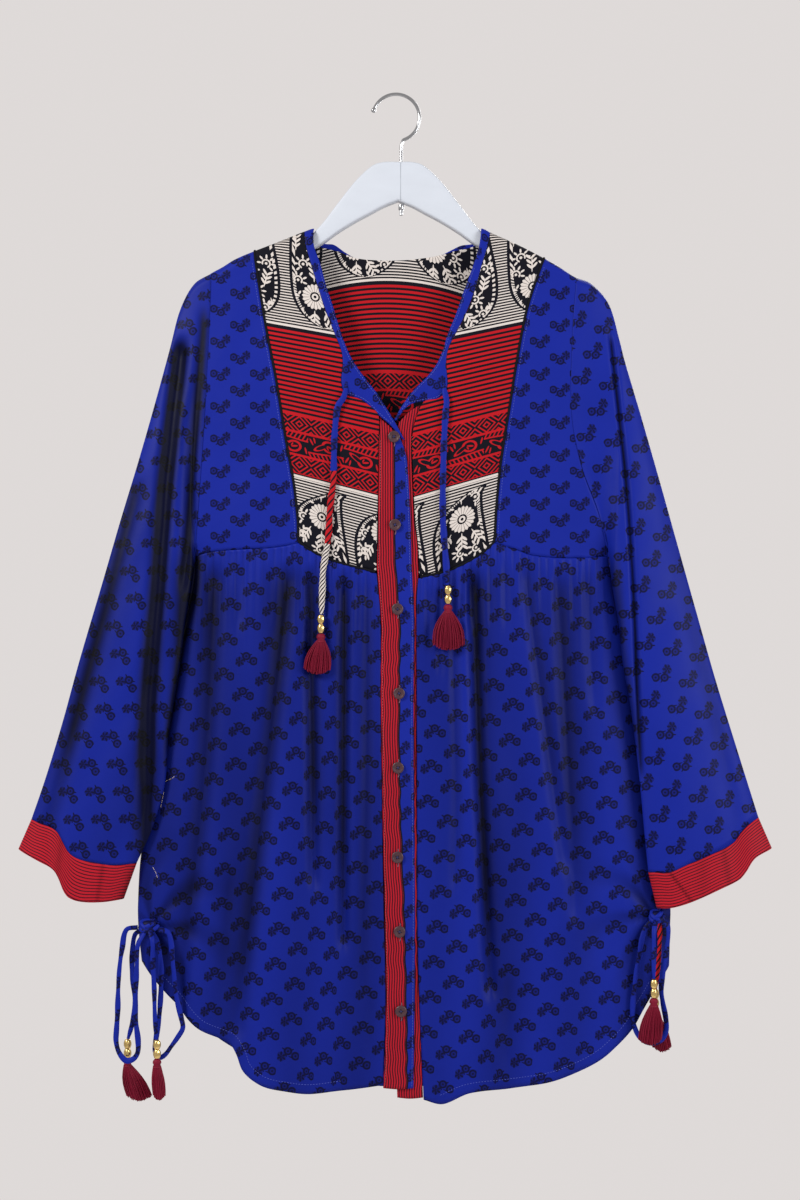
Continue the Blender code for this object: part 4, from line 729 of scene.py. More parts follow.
def tube_mesh(points, wide, thick, sides=10, twist=0.0):
    """A flat or round tube round a line of points in metres, closed at both ends."""
    points = np.array(points)
    rows = len(points) - 1
    ahead = np.gradient(points, axis=0)
    ahead /= np.linalg.norm(ahead, axis=1)[:, None]
    side = np.cross(ahead, (0.0, 1.0, 0.0))
    side[np.linalg.norm(side, axis=1) < 0.2] = (1.0, 0.0, 0.0)
    side /= np.linalg.norm(side, axis=1)[:, None]
    up = np.cross(side, ahead)
    along = lengths_along(points) / MM
    wide, thick, turn = [np.broadcast_to(value, rows + 1) for value in (wide, thick, twist)]

    def surface(u, v):
        row, angle = np.rint(v * rows).astype(int), u * math.tau
        x, y = np.cos(angle) * wide[row] / 2, np.sin(angle) * thick[row] / 2
        c, s = np.cos(turn[row]), np.sin(turn[row])
        return points[row] + ((c * x - s * y)[:, None] * side[row] + (s * x + c * y)[:, None] * up[row]) * MM

    def cloth(u, v):
        row = np.rint(v * rows).astype(int)
        return np.stack([np.abs(u - 0.5) * 2 * wide[row], along[row]], -1)

    return close_ends(bent_grid(surface, sides, rows, cloth, tube=True), sides)


# %% [markdown]
# ## The form of the body
#
# These tables are the part's own: the shoulders' silhouette over the hanger, half the width at
# each height, how deep the centre stands, and each seam line on the drawing.

# %% Tables of the form
ROLL = 9.0
ROLL_ARC = ROLL * math.pi / 2
LAP_DEPTH, LAP_EDGE, LAP_EASE = 2.2, 420.0, 26.0
SEAM_GAP, WAIST_GAP, PIPING_CHANNEL, NECK_GAP, SIDE_GAP = 0.1, 0.12, 0.6, 0.1, 0.25
ARMHOLE_UNDER, SLEEVE_OVER, SLEEVE_PROUD = 1.2, 1.6, 0.55
YOKE_FOOT, ARMPIT_DOWN = 565.0, 556.0
SHOULDER_LINE = [
    (194, 281), (210, 271), (221, 265), (234, 257), (254, 248.5), (275, 240.5), (290, 234.5), (304, 229),
    (314, 226), (482, 226), (491, 230), (508, 237.5), (527, 246.5), (547, 257), (560, 264.5), (573, 273),
    (588, 281),
]
HALF_WIDTH = {
    RIGHT: [
        (250, 274), (400, 274), (450, 268), (490, 258), (520, 243), (540, 226), (556, 207), (650, 222.5),
        (780, 246.5), (850, 261), (905, 265), (930, 264.5), (970, 261), (1090, 262),
    ],
    LEFT: [
        (250, 276), (400, 276), (450, 270), (490, 260), (520, 245), (540, 228), (556, 210), (650, 226),
        (905, 271), (930, 271), (970, 270), (1090, 262),
    ],
}
CENTRE_DEPTH = [
    (226, 12), (350, 13.5), (450, 15), (560, 16.5), (700, 18.5), (850, 20), (1000, 21), (1100, 21),
]
YOKE_OUTER = {
    RIGHT: [
        (254, 249), (255.5, 262), (265, 322), (276, 379), (286, 440), (293.5, 481), (298, 520), (299, 541),
    ],
    LEFT: [(545, 256), (541, 266), (527, 309), (517, 360), (510, 404), (501, 460), (496, 510), (494, 541)],
}
YOKE_BOTTOM = {
    RIGHT: [(299, 541), (303.5, 545.3), (311, 550.4), (324, 557), (337, 561.8), (350, 565.5), (376.5, 572)],
    LEFT: [
        (418.8, 577), (433, 574.5), (447, 571), (461, 565), (474, 558), (484, 551.4), (490, 546.2),
        (494, 541),
    ],
}
ARMHOLE = {
    RIGHT: [(210.5, 271.5), (209.5, 290), (207, 330), (204.5, 391), (201, 460), (197, 510), (194, 556)],
    LEFT: [(577.5, 275.5), (576.5, 290), (573, 334), (573, 420), (582, 470), (599, 515), (611, 556)],
}
WAIST = {
    RIGHT: [(194, 556), (212, 551.5), (247, 549), (269, 548), (287, 545.5), (298, 543)],
    LEFT: [(495, 543), (517, 550), (531, 555), (565, 558), (611, 556)],
}
NECK_INNER = {
    RIGHT: [
        (313.5, 227), (313.8, 245), (319.7, 262), (326, 285), (333.8, 309), (340.8, 332), (347.5, 350),
        (355.6, 365), (365, 378), (377.5, 394), (386.9, 409), (396, 424), (404.5, 440),
    ],
    LEFT: [
        (481.8, 227), (479, 246), (472.8, 266.6), (462, 296), (455.6, 315), (447.8, 333.8), (443.5, 348),
        (437, 363.4), (427.5, 376), (418, 385.5), (408.8, 396), (399.4, 410), (393.9, 419.7),
    ],
}
NECK_OUTER = {
    RIGHT: [
        (304.2, 229.2), (304.2, 231.4), (304.4, 236), (304.8, 242), (310.3, 262), (317.3, 285), (325, 309),
        (334, 332), (341.5, 352), (342.5, 365), (341, 381), (345.5, 394.5), (358.8, 398.5), (368, 404.5),
        (378.5, 415), (391, 426), (400.8, 438),
    ],
    LEFT: [
        (490.8, 230.2), (490.4, 232.2), (489.6, 237), (487.7, 246), (481.4, 266.6), (476, 286.9),
        (466.6, 311.9), (456.6, 332), (449, 347), (446.5, 358), (446.8, 371), (447.3, 386.9), (439, 398),
        (424.4, 401), (411, 404), (403.5, 410.5), (397, 421),
    ],
}
YOKE_NECK_POINTS = {RIGHT: 15, LEFT: 14}
YOKE_FRONT_EDGE = {
    RIGHT: [(378.4, 440), (378, 480), (377.3, 520), (376.2, 571.5)],
    LEFT: [(416.4, 417), (412.4, 437), (413.2, 480), (415.4, 520), (418.6, 550), (419, 576)],
}
PLACKET_OVER_LEFT = [
    (380.6, 419), (379.2, 440), (378.8, 480), (378.1, 520), (377.6, 546), (377.2, 572), (381, 620),
    (381, 660), (381, 700), (381.8, 750), (382.5, 800), (383.2, 850), (384, 900), (385, 950), (386, 1000),
    (385.3, 1045), (383.3, 1086),
]
PLACKET_OVER_RIGHT = [
    (400.5, 438.8), (406, 455), (408.5, 480), (410.5, 520), (411.5, 560), (414, 620), (413.5, 700),
    (414, 800), (415, 900), (414.5, 1000), (413.5, 1086),
]
PLACKET_SPLIT = [
    (419, 394), (440, 395), (560, 396), (620, 400.5), (700, 400), (800, 401), (900, 404.5), (1000, 407),
    (1086, 408),
]
PLACKET_UNDER_RIGHT = [
    (419.4, 405.5), (415.6, 417), (411.3, 437), (412.1, 480), (414.3, 520), (417.7, 550), (418.1, 577),
    (416.4, 600), (416.4, 650), (416.4, 700), (416.5, 750), (416.6, 800), (416.7, 850), (416.8, 900),
    (417.5, 950), (419, 1000), (421, 1050), (423, 1096),
]
PLACKET_UNDER_LEFT = [
    (399.2, 422), (396, 440), (393, 480), (391.5, 520), (390.5, 560), (390.5, 600), (390.5, 700),
    (390.7, 800), (391, 900), (392, 950), (393.5, 1000), (395.5, 1050), (397.3, 1096),
]
SKIRT_HEM = {
    RIGHT: [
        (140, 963), (152, 979.5), (174, 1003.5), (197, 1028), (229, 1042.5), (236, 1052), (244, 1071),
        (262, 1085), (285, 1090), (310, 1092), (345, 1088), (382.8, 1083),
    ],
    LEFT: [
        (423.5, 1098), (443, 1102), (470, 1091), (510, 1086.5), (545, 1082), (575, 1072.5), (600, 1060),
        (618, 1045), (633, 1029), (645, 1009), (658, 988), (671, 968),
    ],
}
SKIRT_FRONT_EDGE = {
    RIGHT: [
        (376.4, 573.5), (380.4, 620), (380.4, 700), (381.9, 800), (383.4, 900), (385.4, 1000),
        (382.6, 1083),
    ],
    LEFT: [
        (418.6, 578.5), (416.8, 600), (416.8, 700), (417, 800), (417.2, 900), (417.9, 950), (419.4, 1000),
        (421.4, 1050), (423.5, 1098),
    ],
}
BACK_YOKE_BOTTOM = [
    (297.5, 540), (320, 543.5), (350, 547.5), (401, 550), (452, 547.5), (476, 544), (496.5, 540),
]
BACK_WAIST = {
    RIGHT: [(194, 556), (220, 550), (250, 545.5), (280, 541.5), (297, 540)],
    LEFT: [(497, 540), (520, 542.5), (550, 547), (580, 551.5), (611, 556)],
}
BACK_NECK = [
    (313, 240), (324.4, 243.5), (340, 247.5), (352.5, 252.5), (368, 255), (401, 255.5), (430, 252.5),
    (446, 249), (456, 246), (470, 243), (481, 240),
]
BACK_YOKE_OUTER = {
    RIGHT: [(254, 249), (256, 262), (265.5, 322), (276.5, 379), (286.5, 440), (293.5, 481), (297.5, 540)],
    LEFT: [(545, 256), (541, 266), (528.5, 309), (518.5, 360), (511.5, 404), (502.5, 460), (496.5, 540)],
}
BACK_HEM = [
    (140, 963), (160, 990), (185, 1018), (220, 1048), (262, 1072), (310, 1087), (360, 1094), (401, 1096),
    (445, 1094), (495, 1087), (545, 1072), (588, 1050), (622, 1022), (648, 995), (671, 968),
]
BACK_BINDING = [
    (316, 236), (324, 238.5), (333, 239.5), (344, 247), (355, 253), (370, 255.3), (401, 255.8), (428, 253),
    (443, 249.3), (453, 244.5), (462, 240.3), (472, 239), (480, 237),
]
FOLD_STATIONS = (580.0, 800.0, 1040.0)
# The folds that show are deeper than the solids', and a fold this deep, in mm, is fully in the dark.
SHOWN_FOLD, HOLLOW_AT, SHADE_PER_MM = 1.15, 4.6, 0.15
# across at the seam, at mid height and near the hem, depth, half width, start and end down
FRONT_FOLDS = {
    RIGHT: [
        (214, 202, 174, 4.2, 9, 556, 1030), (239, 232, 215, 1.8, 5, 556, 640),
        (256, 236, 218, 1.6, 6, 860, 1010), (269, 266, 250, 1.8, 4.5, 556, 640),
        (288, 264, 236, 4.9, 8.6, 556, 1050), (300, 300, 300, 2, 3.6, 556, 640),
        (310, 313, 316, 5.8, 6, 560, 900), (325, 324, 323, 2, 3.6, 566, 660),
        (336, 336, 336, 1.4, 3.6, 566, 640), (345, 344, 343, 5.8, 5.2, 566, 960),
        (358, 356, 354, 2, 3.4, 570, 650), (368, 367, 361, 2.2, 5, 570, 1010),
        (372, 373, 372, 1.6, 6, 980, 1075),
    ],
    LEFT: [
        (429, 430, 431, 1.8, 3.4, 576, 660), (440, 440, 432, 2.2, 4.4, 572, 690),
        (452, 457, 450, 2.6, 5, 568, 900), (461, 462, 463, 2.2, 3.8, 566, 650),
        (470, 469, 468, 2.6, 3.6, 564, 640), (474, 481, 494, 7.2, 6.4, 560, 1010),
        (491, 494, 497, 1.8, 4, 552, 640), (506, 510, 512, 2, 4.4, 556, 640),
        (527, 556, 590, 3.6, 6, 556, 880), (543, 546, 549, 1.8, 4.4, 560, 640),
        (559, 571, 582, 3.4, 7, 562, 930), (574, 578, 582, 2, 4.4, 562, 640),
        (588, 600, 612, 2.4, 6, 562, 720), (513, 513, 508, 2.2, 8, 960, 1080),
    ],
}
BACK_GATHERS, BACK_GATHER_WIDE = 15, 7.5
SIDE_CALM, SIDE_CROWDING, FOLD_EASE = 22.0, 0.35, 26.0


# %% Functions of the form
HANDS = ((RIGHT, "right"), (LEFT, "left"))


def by_hand(hand, outer, inner):
    """A pair named from the side to the middle, in its order from left to right on the drawing."""
    return (outer, inner) if hand == RIGHT else (inner, outer)


def shoulder_line(across):
    return smooth(SHOULDER_LINE, across)


def half_width(across, down):
    right, left = [smooth(HALF_WIDTH[hand], down) for hand, _ in HANDS]
    return np.where(np.asarray(across) > CENTRE, left, right)


def from_edge(across, down):
    """How far a place lies from the side seam on its own half."""
    return np.abs(np.abs(across - CENTRE) - half_width(across, down))


def bulge(across, down, floor=0.03):
    """The share of the centre's depth that the body has here: an oval, seen from above."""
    share = (across - CENTRE) / half_width(across, down)
    return np.sqrt(np.maximum(1 - share * share, floor))


def lap(across):
    """How much deeper the left front lies, where the right one laps over it."""
    deep = LAP_DEPTH * (1 - ease((across - LAP_EDGE) / LAP_EASE))
    return np.where(np.asarray(across) > CENTRE - LAP_EASE, deep, 0.0)


def arc_at(across, down, side=FRONT):
    """The arc over the shoulder that reaches down to a place: negative behind."""
    drop = down - shoulder_line(across)
    rolled = ROLL * np.arccos(1 - np.clip(drop, 0.0, ROLL) / ROLL)
    return -side * np.where(drop < ROLL, rolled, ROLL_ARC + drop - ROLL)


def fall_of(arc):
    """How far an arc has come down, and the angle that it has turned through."""
    reach = np.abs(arc)
    turn = np.minimum(reach / ROLL, math.pi / 2)
    return np.where(reach < ROLL_ARC, ROLL * (1 - np.cos(turn)), ROLL + reach - ROLL_ARC), turn


def down_of(across, arc):
    return shoulder_line(across) + fall_of(arc)[0]


def torso(across, arc, deeper=0.0):
    """Places on the upper body, given by the arc over the shoulder."""
    down, side = down_of(across, arc), np.where(arc < 0, BACK, FRONT)
    depth = side * smooth(CENTRE_DEPTH, down) * bulge(across, down) * np.sin(fall_of(arc)[1])
    return place(across, depth + deeper, down)


def as_arcs(points, side, parts=3):
    fine = finer(points, parts)
    return np.column_stack([fine[:, 0], arc_at(fine[:, 0], fine[:, 1], side)])


def patch(left, right, top, bottom, u, v):
    """Places in a panel with four drawn edges."""
    left, right, top, bottom = [np.array(edge, float) for edge in (left, right, top, bottom)]
    u, v = np.asarray(u)[:, None], np.asarray(v)[:, None]
    sides = (1 - u) * route(left, v[:, 0]) + u * route(right, v[:, 0])
    ends = (1 - v) * route(top, u[:, 0]) + v * route(bottom, u[:, 0])
    corners = (1 - v) * ((1 - u) * top[0] + u * top[-1]) + v * ((1 - u) * bottom[0] + u * bottom[-1])
    return sides + ends - corners


def shifted(points, across=0.0, down=0.0):
    return [(x + across, y + down) for x, y in points]


def fold_middle(down, path, stations=FOLD_STATIONS):
    return smooth(list(zip(stations, path)), down)


def folds_at(across, down, folds, stations=FOLD_STATIONS):
    """How deep a place lies in the folds: each is a trough that eases in and out along its length."""
    total = np.zeros_like(down, float)
    for *path, depth, wide, start, end in folds:
        length = ease((down - start) / FOLD_EASE) * (1 - ease((down - end + FOLD_EASE) / FOLD_EASE))
        total += depth * length * np.exp(-((across - fold_middle(down, path, stations)) / wide) ** 2)
    return total


def front_folds(across, down):
    return sum(((across > CENTRE) == (hand == LEFT)) * folds_at(across, down, FRONT_FOLDS[hand])
               for hand, _ in HANDS)


def unfolded_depth(across, down):
    return SIDE_GAP + smooth(CENTRE_DEPTH, down) * bulge(across, down, 0.0)


def ripple(a, b, size=1.0):
    """A quiet unevenness, as handled cloth has: waves whose lengths never meet."""
    long, middle = np.sin(a * 0.071 + np.sin(b * 0.023) * 1.7), np.sin(a * 0.031 - b * 0.044 + 1.3)
    return size * (0.5 * long + 0.4 * middle + 0.22 * np.sin(a * 0.113 + b * 0.067 + 0.4))


def pucker(across, down, seam):
    """Fine gathers that fade below a seam."""
    below = down - seam
    fade = ease((below + 3) / 8) * np.exp(-np.maximum(below, 0) / 34)
    wave = np.sin(across * 0.86 + 1.4 * np.sin(across * 0.13) + below * 0.01)
    return 1.15 * fade * (wave * 0.7 + 0.3 * np.sin(across * 1.63 + 0.7))


# %% [markdown]
# ## Ties and drawcords
#
# Two ties end the neck binding and hang down the front. At each side a drawcord runs out of its
# casing, is knotted, and hangs in loops and tasselled ends. Each is a folded strip, so it is a
# flat tube along a route. The routes are the part's own.

# %% Routes of the cords
TIE_RADIUS, KNOT_CLEAR = 2.6, 0.75
# How far aside, down and sunk a tie starts under the binding.
TIE_ROOT = ((3, 382, -3.4), (2, 391, -1.2))
NECK_TIES = {
    "neck_tie_right": [
        (343.5, 398.5, 0.4), (339.5, 404, 0.4), (337, 412, 0.4), (335.5, 425, 0.4), (334.5, 441, 0.4),
        (334, 462, 0.4), (333.5, 482, 0.4), (331.5, 497, 0.4), (330, 512, 0.4), (329, 531, 0.5),
        (327, 548, 0.7), (325, 560, 1.2), (323.2, 572, 1.4), (322.8, 584, 1.3), (322.3, 598, 1.2),
        (321.8, 614, 1.2),
    ],
    "neck_tie_left": [
        (446.5, 401.5, 0.4), (446, 409, 0.4), (445, 421, 0.4), (444, 441, 0.4), (443.3, 462, 0.4),
        (442.8, 482, 0.4), (442.6, 502, 0.4), (443, 523, 0.4), (444.3, 543, 0.6), (446, 564, 1.2),
        (447.2, 585, 1.4),
    ],
}
KNOTS = {"right": (149, 925, 13.2, 11.0, 6.5, 5.6), "left": (657, 915.5, 12.8, 8.5, 6.5, 5.6)}
DRAWCORDS = {
    "drawcord_right_loop_1": [
        (127, 929, 16.4), (122.5, 948, 15.4), (119.8, 968, 15.2), (118.5, 990, 15.2), (118, 1012, 15.2),
        (116.8, 1030, 15.2), (116.5, 1041, 15.2), (119.5, 1052, 15.2), (126.4, 1060, 15.2),
        (133.5, 1058.5, 15.2), (138, 1052, 15.2), (138.4, 1040, 15.2), (136.5, 1024, 15.2),
        (135.6, 1005, 15.2), (136.2, 985, 15.5), (137.6, 965, 17.5), (139, 943, 19.4),
    ],
    "drawcord_right_loop_2": [
        (169, 933, 14.4), (173, 962, 14.6), (176.5, 995, 15.4), (182, 1018, 16.8), (183.3, 1027, 16.5),
        (178.5, 1036, 15.5), (171.5, 1046, 13.5), (165, 1055, 11), (159, 1058.5, 9.5), (154.5, 1052, 8.8),
        (156, 1036, 9.4), (158.8, 1018, 10.4), (161, 985, 12), (160.5, 960, 12), (157, 942, 10.9),
    ],
    "drawcord_right_end_1": [
        (134, 936, 7.4), (131.5, 956, 7.4), (131.5, 978, 7.6), (133.8, 1000, 7.8), (132, 1022, 7.9),
        (127.3, 1040, 8),
    ],
    "drawcord_right_end_2": [
        (154, 939, 22.4), (154, 962, 20.4), (155, 984, 19.2), (155.6, 1012, 18.6), (157.3, 1038, 18.5),
    ],
    "drawcord_left_loop_1": [
        (668, 926.5, 14.4), (666.5, 948, 15.5), (662.8, 968, 16.8), (660.5, 988, 17.4), (662, 1001, 17.6),
        (665, 1017, 17.6), (665.5, 1029, 17.6), (660.6, 1038.5, 17.6), (652, 1042.4, 17.6),
        (643.6, 1040.4, 17.4), (637.5, 1034, 16.8), (632.5, 1020, 16), (632.5, 1005, 15.4),
        (635, 980, 14.6), (639, 955, 13.8), (645, 929, 12.4),
    ],
    "drawcord_left_end_1": [(652.5, 929, 24.4), (652, 945, 25), (652, 960, 25), (652, 976, 25)],
    "drawcord_left_end_2": [(660, 931.5, 11.9), (659.5, 950, 11.7), (658.2, 970, 11.6), (655.5, 989, 11.6)],
}
# across, down, ahead, tassel width, tassel depth, tassel length, lean, the cord that carries it
PENDANTS = {
    "neck_right": (321.3, 614.6, 21.4, 26.5, 8, 34, -3.5, "neck_tie_right"),
    "neck_left": (447.8, 585.6, 21.4, 31.5, 8, 39, 0.5, "neck_tie_left"),
    "side_right_1": (126.8, 1040.6, 8, 25, 8, 36, 12, "drawcord_right_end_1"),
    "side_right_2": (157.8, 1038.6, 18.5, 12, 8, 34, 2.5, "drawcord_right_end_2"),
    "side_left_1": (652, 976.6, 25, 23, 7, 40, -3.5, "drawcord_left_end_1"),
    "side_left_2": (655.5, 989.6, 11.6, 19, 6, 37, 7, "drawcord_left_end_2"),
}


def tie_route(hand, points):
    """The yoke and skirt under a tie carry it, so its distance ahead comes from theirs."""
    start = points[0][0]
    hidden = [(start - hand * aside, down, sunk) for aside, down, sunk in TIE_ROOT]
    x, y, clear = np.array(hidden + points, float).T
    yoke = -(torso(x, arc_at(x, y), lap(x))[:, 1]) / MM
    skirt = unfolded_depth(x, y) - front_folds(x, y)
    return np.column_stack([x, y, np.where(y < YOKE_FOOT, yoke, skirt) + TIE_RADIUS + clear])


def at_knot(word, toward):
    """The place on a knot where a cord that comes from a point meets it."""
    centre, half = np.array(KNOTS[word][:3]), np.array(KNOTS[word][3:])
    run = np.array(toward, float) - centre
    share = 1 / np.linalg.norm(run / half) + KNOT_CLEAR / np.linalg.norm(run)
    return tuple(centre + run * share)


def cord_line(name, points):
    """A cord's whole route, as across, down and ahead."""
    word = name.split("_")[2 if name in NECK_TIES else 1]
    if name in NECK_TIES:
        return tie_route(RIGHT if word == "right" else LEFT, points)
    return [at_knot(word, points[0])] + points + ([at_knot(word, points[-1])] if "loop" in name else [])


def cord_piece(name, points):
    """A folded strip along its route, with its uneven width, its thin start or end, and its twist."""
    tie = name in NECK_TIES
    line = cord_line(name, points)
    long = lengths_along(np.array(line))[-1]
    share = np.linspace(0, 1, round(long / CORD_STEP) + 1)
    path = route(line, share)
    path = place(path[:, 0], -path[:, 2], path[:, 1])
    wide = 1 + WIDTH_SWING * np.sin(share * long * WIDTH_WAVE + len(name))
    wide = wide * (TIE_WIDE if tie else CORD_WIDE)
    if "loop" not in name:
        wide = wide * (1 - END_THIN * ease((share * long - long + END_RUN) / END_RUN))
    if tie:
        wide = wide * (1 - ROOT_THIN * (1 - ease(share * long / ROOT_RUN)))
    twist = (TIE_TWIST if tie else CORD_TWIST) * np.sin(share * long * TWIST_WAVE + len(name))
    finish = {"neck_tie_right": pieced_tie, "drawcord_left_end_2": striped_cord}.get(name, blue_cloth)
    piece = to_object(name + "_cloth", tube_mesh(path, wide, CORD_THICK, twist=twist), finish)
    print(f"{name}: {long:.0f} mm long, {np.median(wide):.1f} mm wide")
    return keep(piece, name), path, long, float(np.median(wide))


TIE_WIDE, CORD_WIDE, CORD_THICK, CORD_STEP = 6.4, 5.4, 2.6, 2.4
WIDTH_SWING, WIDTH_WAVE, TWIST_WAVE, TIE_TWIST, CORD_TWIST = 0.1, 0.21, 0.045, 0.105, 0.56
END_THIN, END_RUN, ROOT_THIN, ROOT_RUN = 0.45, 9, 0.6, 16
cord_pieces = {name: cord_piece(name, points) for name, points in {**NECK_TIES, **DRAWCORDS}.items()}

# %% [markdown]
# Each tie and drawcord end passes through two gold-coloured beads and is tied to a tassel: a
# wrapped head, and many strands that spread as they hang. A strand is a thin tube of few faces,
# because there are hundreds.

# %% Beads
BEAD_MIDDLE, BEAD_HALF, BEAD_SIDES, BEAD_RIBS, BEAD_SWELL, BEAD_STEP = 4.5, 3.2, 40, 10, 0.06, 9.25
# Radius and distance down.
BEAD_PROFILE = [
    (1.3, 0.5), (2.3, 0.1), (2.9, 0.6), (3, 1.2), (3.3, 1.8), (3.65, 3), (3.7, 4.5), (3.65, 6), (3.3, 7.2),
    (3, 7.8), (2.9, 8.4), (2.3, 8.9), (1.3, 8.5), (1.3, 0.5),
]


def turned(profile, sides):
    """A profile of (radius, down) in millimetres spun round the vertical."""
    bm = bmesh.new()
    verts = [bm.verts.new((radius * MM, 0, -down * MM)) for radius, down in profile]
    edges = [bm.edges.new(pair) for pair in zip(verts, verts[1:])]
    bmesh.ops.spin(bm, geom=verts + edges, cent=(0, 0, 0), axis=(0, 0, 1), angle=math.tau, steps=sides,
                   use_merge=True)
    bmesh.ops.remove_doubles(bm, verts=bm.verts, dist=WELD)
    bmesh.ops.recalc_face_normals(bm, faces=bm.faces)
    return bm


def bead(top):
    """One ribbed bead, open round its hole."""
    bm = turned(BEAD_PROFILE, BEAD_SIDES)
    for vert in bm.verts:
        x, y, z = vert.co
        middle = max(0.0, 1 - ((-z / MM - BEAD_MIDDLE) / BEAD_HALF) ** 2)
        swell = 1 + BEAD_SWELL * math.cos(BEAD_RIBS * math.atan2(y, x)) * middle
        vert.co = Vector((x * swell, y * swell, z)) + top
    return bm


def joined(name, parts, material):
    """Several meshes as one piece."""
    whole = bmesh.new()
    for part in parts:
        mesh = bpy.data.meshes.new("one part")
        part.to_mesh(mesh)
        part.free()
        whole.from_mesh(mesh)
        bpy.data.meshes.remove(mesh)
    return to_object(name, whole, material)


# %% Tassels
BEADS_LONG = 18.7
HEAD_PROFILE = [
    (0, 0), (2.6, 0.3), (3.9, 2.2), (4.2, 4.2), (3.3, 5.4), (3.5, 6.2), (3.2, 7), (4, 8.4), (0, 8.8),
]
HEAD_SIDES, HEAD_WIDER, HEAD_FLATTER = 24, 1.05, 0.78
STRANDS, STRAND_WIDE, STRAND_SIDES, STRAND_STEPS, STRAND_START = 150, 0.95, 4, 5, (3.6, 2.4, -6.8)
STRAND_FALL, EDGE_SHORTER, SWAY_WIDE, SWAY_DEEP = 5.5, 0.13, 0.12, 0.1
GOLDEN_ANGLE = 2.399963
chance = np.random.default_rng(6016)


def tassel(name, across, down, ahead, wide, deep, long, lean):
    """A wrapped head, and strands that leave it evenly, by turns of the golden angle."""
    top = place(across, -ahead, down)
    head = turned(HEAD_PROFILE, HEAD_SIDES)
    for vert in head.verts:
        vert.co = Vector((vert.co.x * HEAD_WIDER, vert.co.y * HEAD_FLATTER, vert.co.z)) + Vector(top)
    parts, t = [head], np.linspace(0, 1, STRAND_STEPS + 1)[:, None]
    for k in range(STRANDS):
        r, angle = math.sqrt((k + 0.5) / STRANDS), k * GOLDEN_ANGLE
        x, y = r * math.cos(angle), r * math.sin(angle)
        start = np.array([x, y, 1]) * STRAND_START
        fall = long * (1 - EDGE_SHORTER * x * x + chance.uniform(-0.03, 0.035)) + STRAND_FALL
        end = np.array([x * wide / 2 + lean + chance.uniform(-0.5, 0.5), y * deep / 2, -fall])
        sway = np.array([x * wide * SWAY_WIDE + chance.uniform(-0.4, 0.4), y * deep * SWAY_DEEP, 0])
        line = top + (start + (end - start) * t + sway * np.sin(t * math.pi)) * MM
        parts.append(tube_mesh(line, STRAND_WIDE, STRAND_WIDE, STRAND_SIDES))
    return joined("tassel_" + name + "_threads", parts, burgundy)


for name, (across, down, ahead, wide, deep, long, lean, carrier) in PENDANTS.items():
    pair = [bead(Vector(place(across, -ahead, down + BEAD_STEP * k))) for k in (0, 1)]
    beads = keep(joined("beads_" + name + "_pair", pair, gold), "beads_" + name)
    hung = tassel(name, across, down + BEADS_LONG, ahead, wide, deep, long, lean)
    cord_pieces[carrier] += (beads, keep(hung, "tassel_" + name))

for name, (piece, path, long, wide, *hung) in cord_pieces.items():
    tuple(path[0])
    "object" if "loop" in name else "knot"
    [tuple(spot) for spot in path]
    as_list(hung)

# %% [markdown]
# ## Panels of the body
#
# Each panel hangs from the shoulder seam over the hanger, or from the waist seam. Its four drawn
# edges fill in to a smooth sheet, which takes the body's depth. The skirts are gathered: long
# troughs run down from the seam where the photograph shows them, fine puckers crowd just under
# it, and the cloth print closes up with them.

# %% Upper panels
SHOULDER_ROWS, SHOULDER_PARTS, QUIET, BACK_ROWS = (0, 0.007, 0.014, 0.021, 0.028, 0.036, 0.044), 4, 0.7, 90


def shoulder_rows(count):
    """Places down a panel that lie close together where it rolls over the shoulder."""
    return [*SHOULDER_ROWS, *np.linspace(SHOULDER_ROWS[-1], 1, count + 1)[1:]]


def shoulder_edge(start, stop, side):
    return [(across, -side * SEAM_GAP / 2) for across in np.linspace(start, stop, SHOULDER_PARTS + 1)]


def panel(node, edges, columns, places, material, facing, surface, printed, painted_shade=None,
          near=lambda u: u):
    """A cloth piece within its left, right, top and bottom edges, whose functions read places in it."""
    def spots(u, v):
        return patch(*edges, near(u), v).T

    dark = painted_shade and (lambda u, v: painted_shade(*spots(u, v)))
    cloth_piece(node, lambda u, v: surface(*spots(u, v), u, v), columns, len(places) - 1, material,
                facing, lambda u, v: printed(*spots(u, v)), places=places, painted_shade=dark)


def shoulder_panel(node, side, outer, inner, bottom, hand, columns, rows, material, printed,
                   lapped=False):
    """A panel that hangs from the shoulder seam, and rolls over the hanger in its first rows."""
    outer, inner, bottom = [as_arcs(edge, side) for edge in (outer, inner, bottom)]
    left, right = by_hand(hand, outer, inner)
    top = shoulder_edge(left[0][0], right[0][0], side)
    edges = [top[0], *left[1:-1], bottom[0]], [top[-1], *right[1:-1], bottom[-1]], top, bottom

    def surface(across, arc, u, v):
        calm = np.sin(np.clip(u, 0, 1) * math.pi) * ease(v * 8) * ease((1 - v) * 12)
        uneven = ripple(across, down_of(across, arc), QUIET) * calm
        return torso(across, arc, (lap(across) if lapped else 0.0) + uneven)

    return panel(node, edges, columns, shoulder_rows(rows), material, side, surface,
                 lambda across, arc: printed(across, down_of(across, arc)))


def side_panel(node, side, hand, yoke_edge, waist, columns, rows):
    """A plain panel between the armhole and the yoke, down to the waist seam."""
    armhole = shifted(ARMHOLE[hand], hand * ARMHOLE_UNDER)
    waist = shifted(waist, 0, -WAIST_GAP)
    first, last = by_hand(hand, armhole, yoke_edge)
    waist = [(first[-1][0], waist[0][1])] + waist[1:-1] + [(last[-1][0], waist[-1][1])]
    shoulder_panel(node, side, armhole, yoke_edge, waist, hand, columns, rows, blue_cloth,
                   lambda across, down: np.stack([across, down], -1))


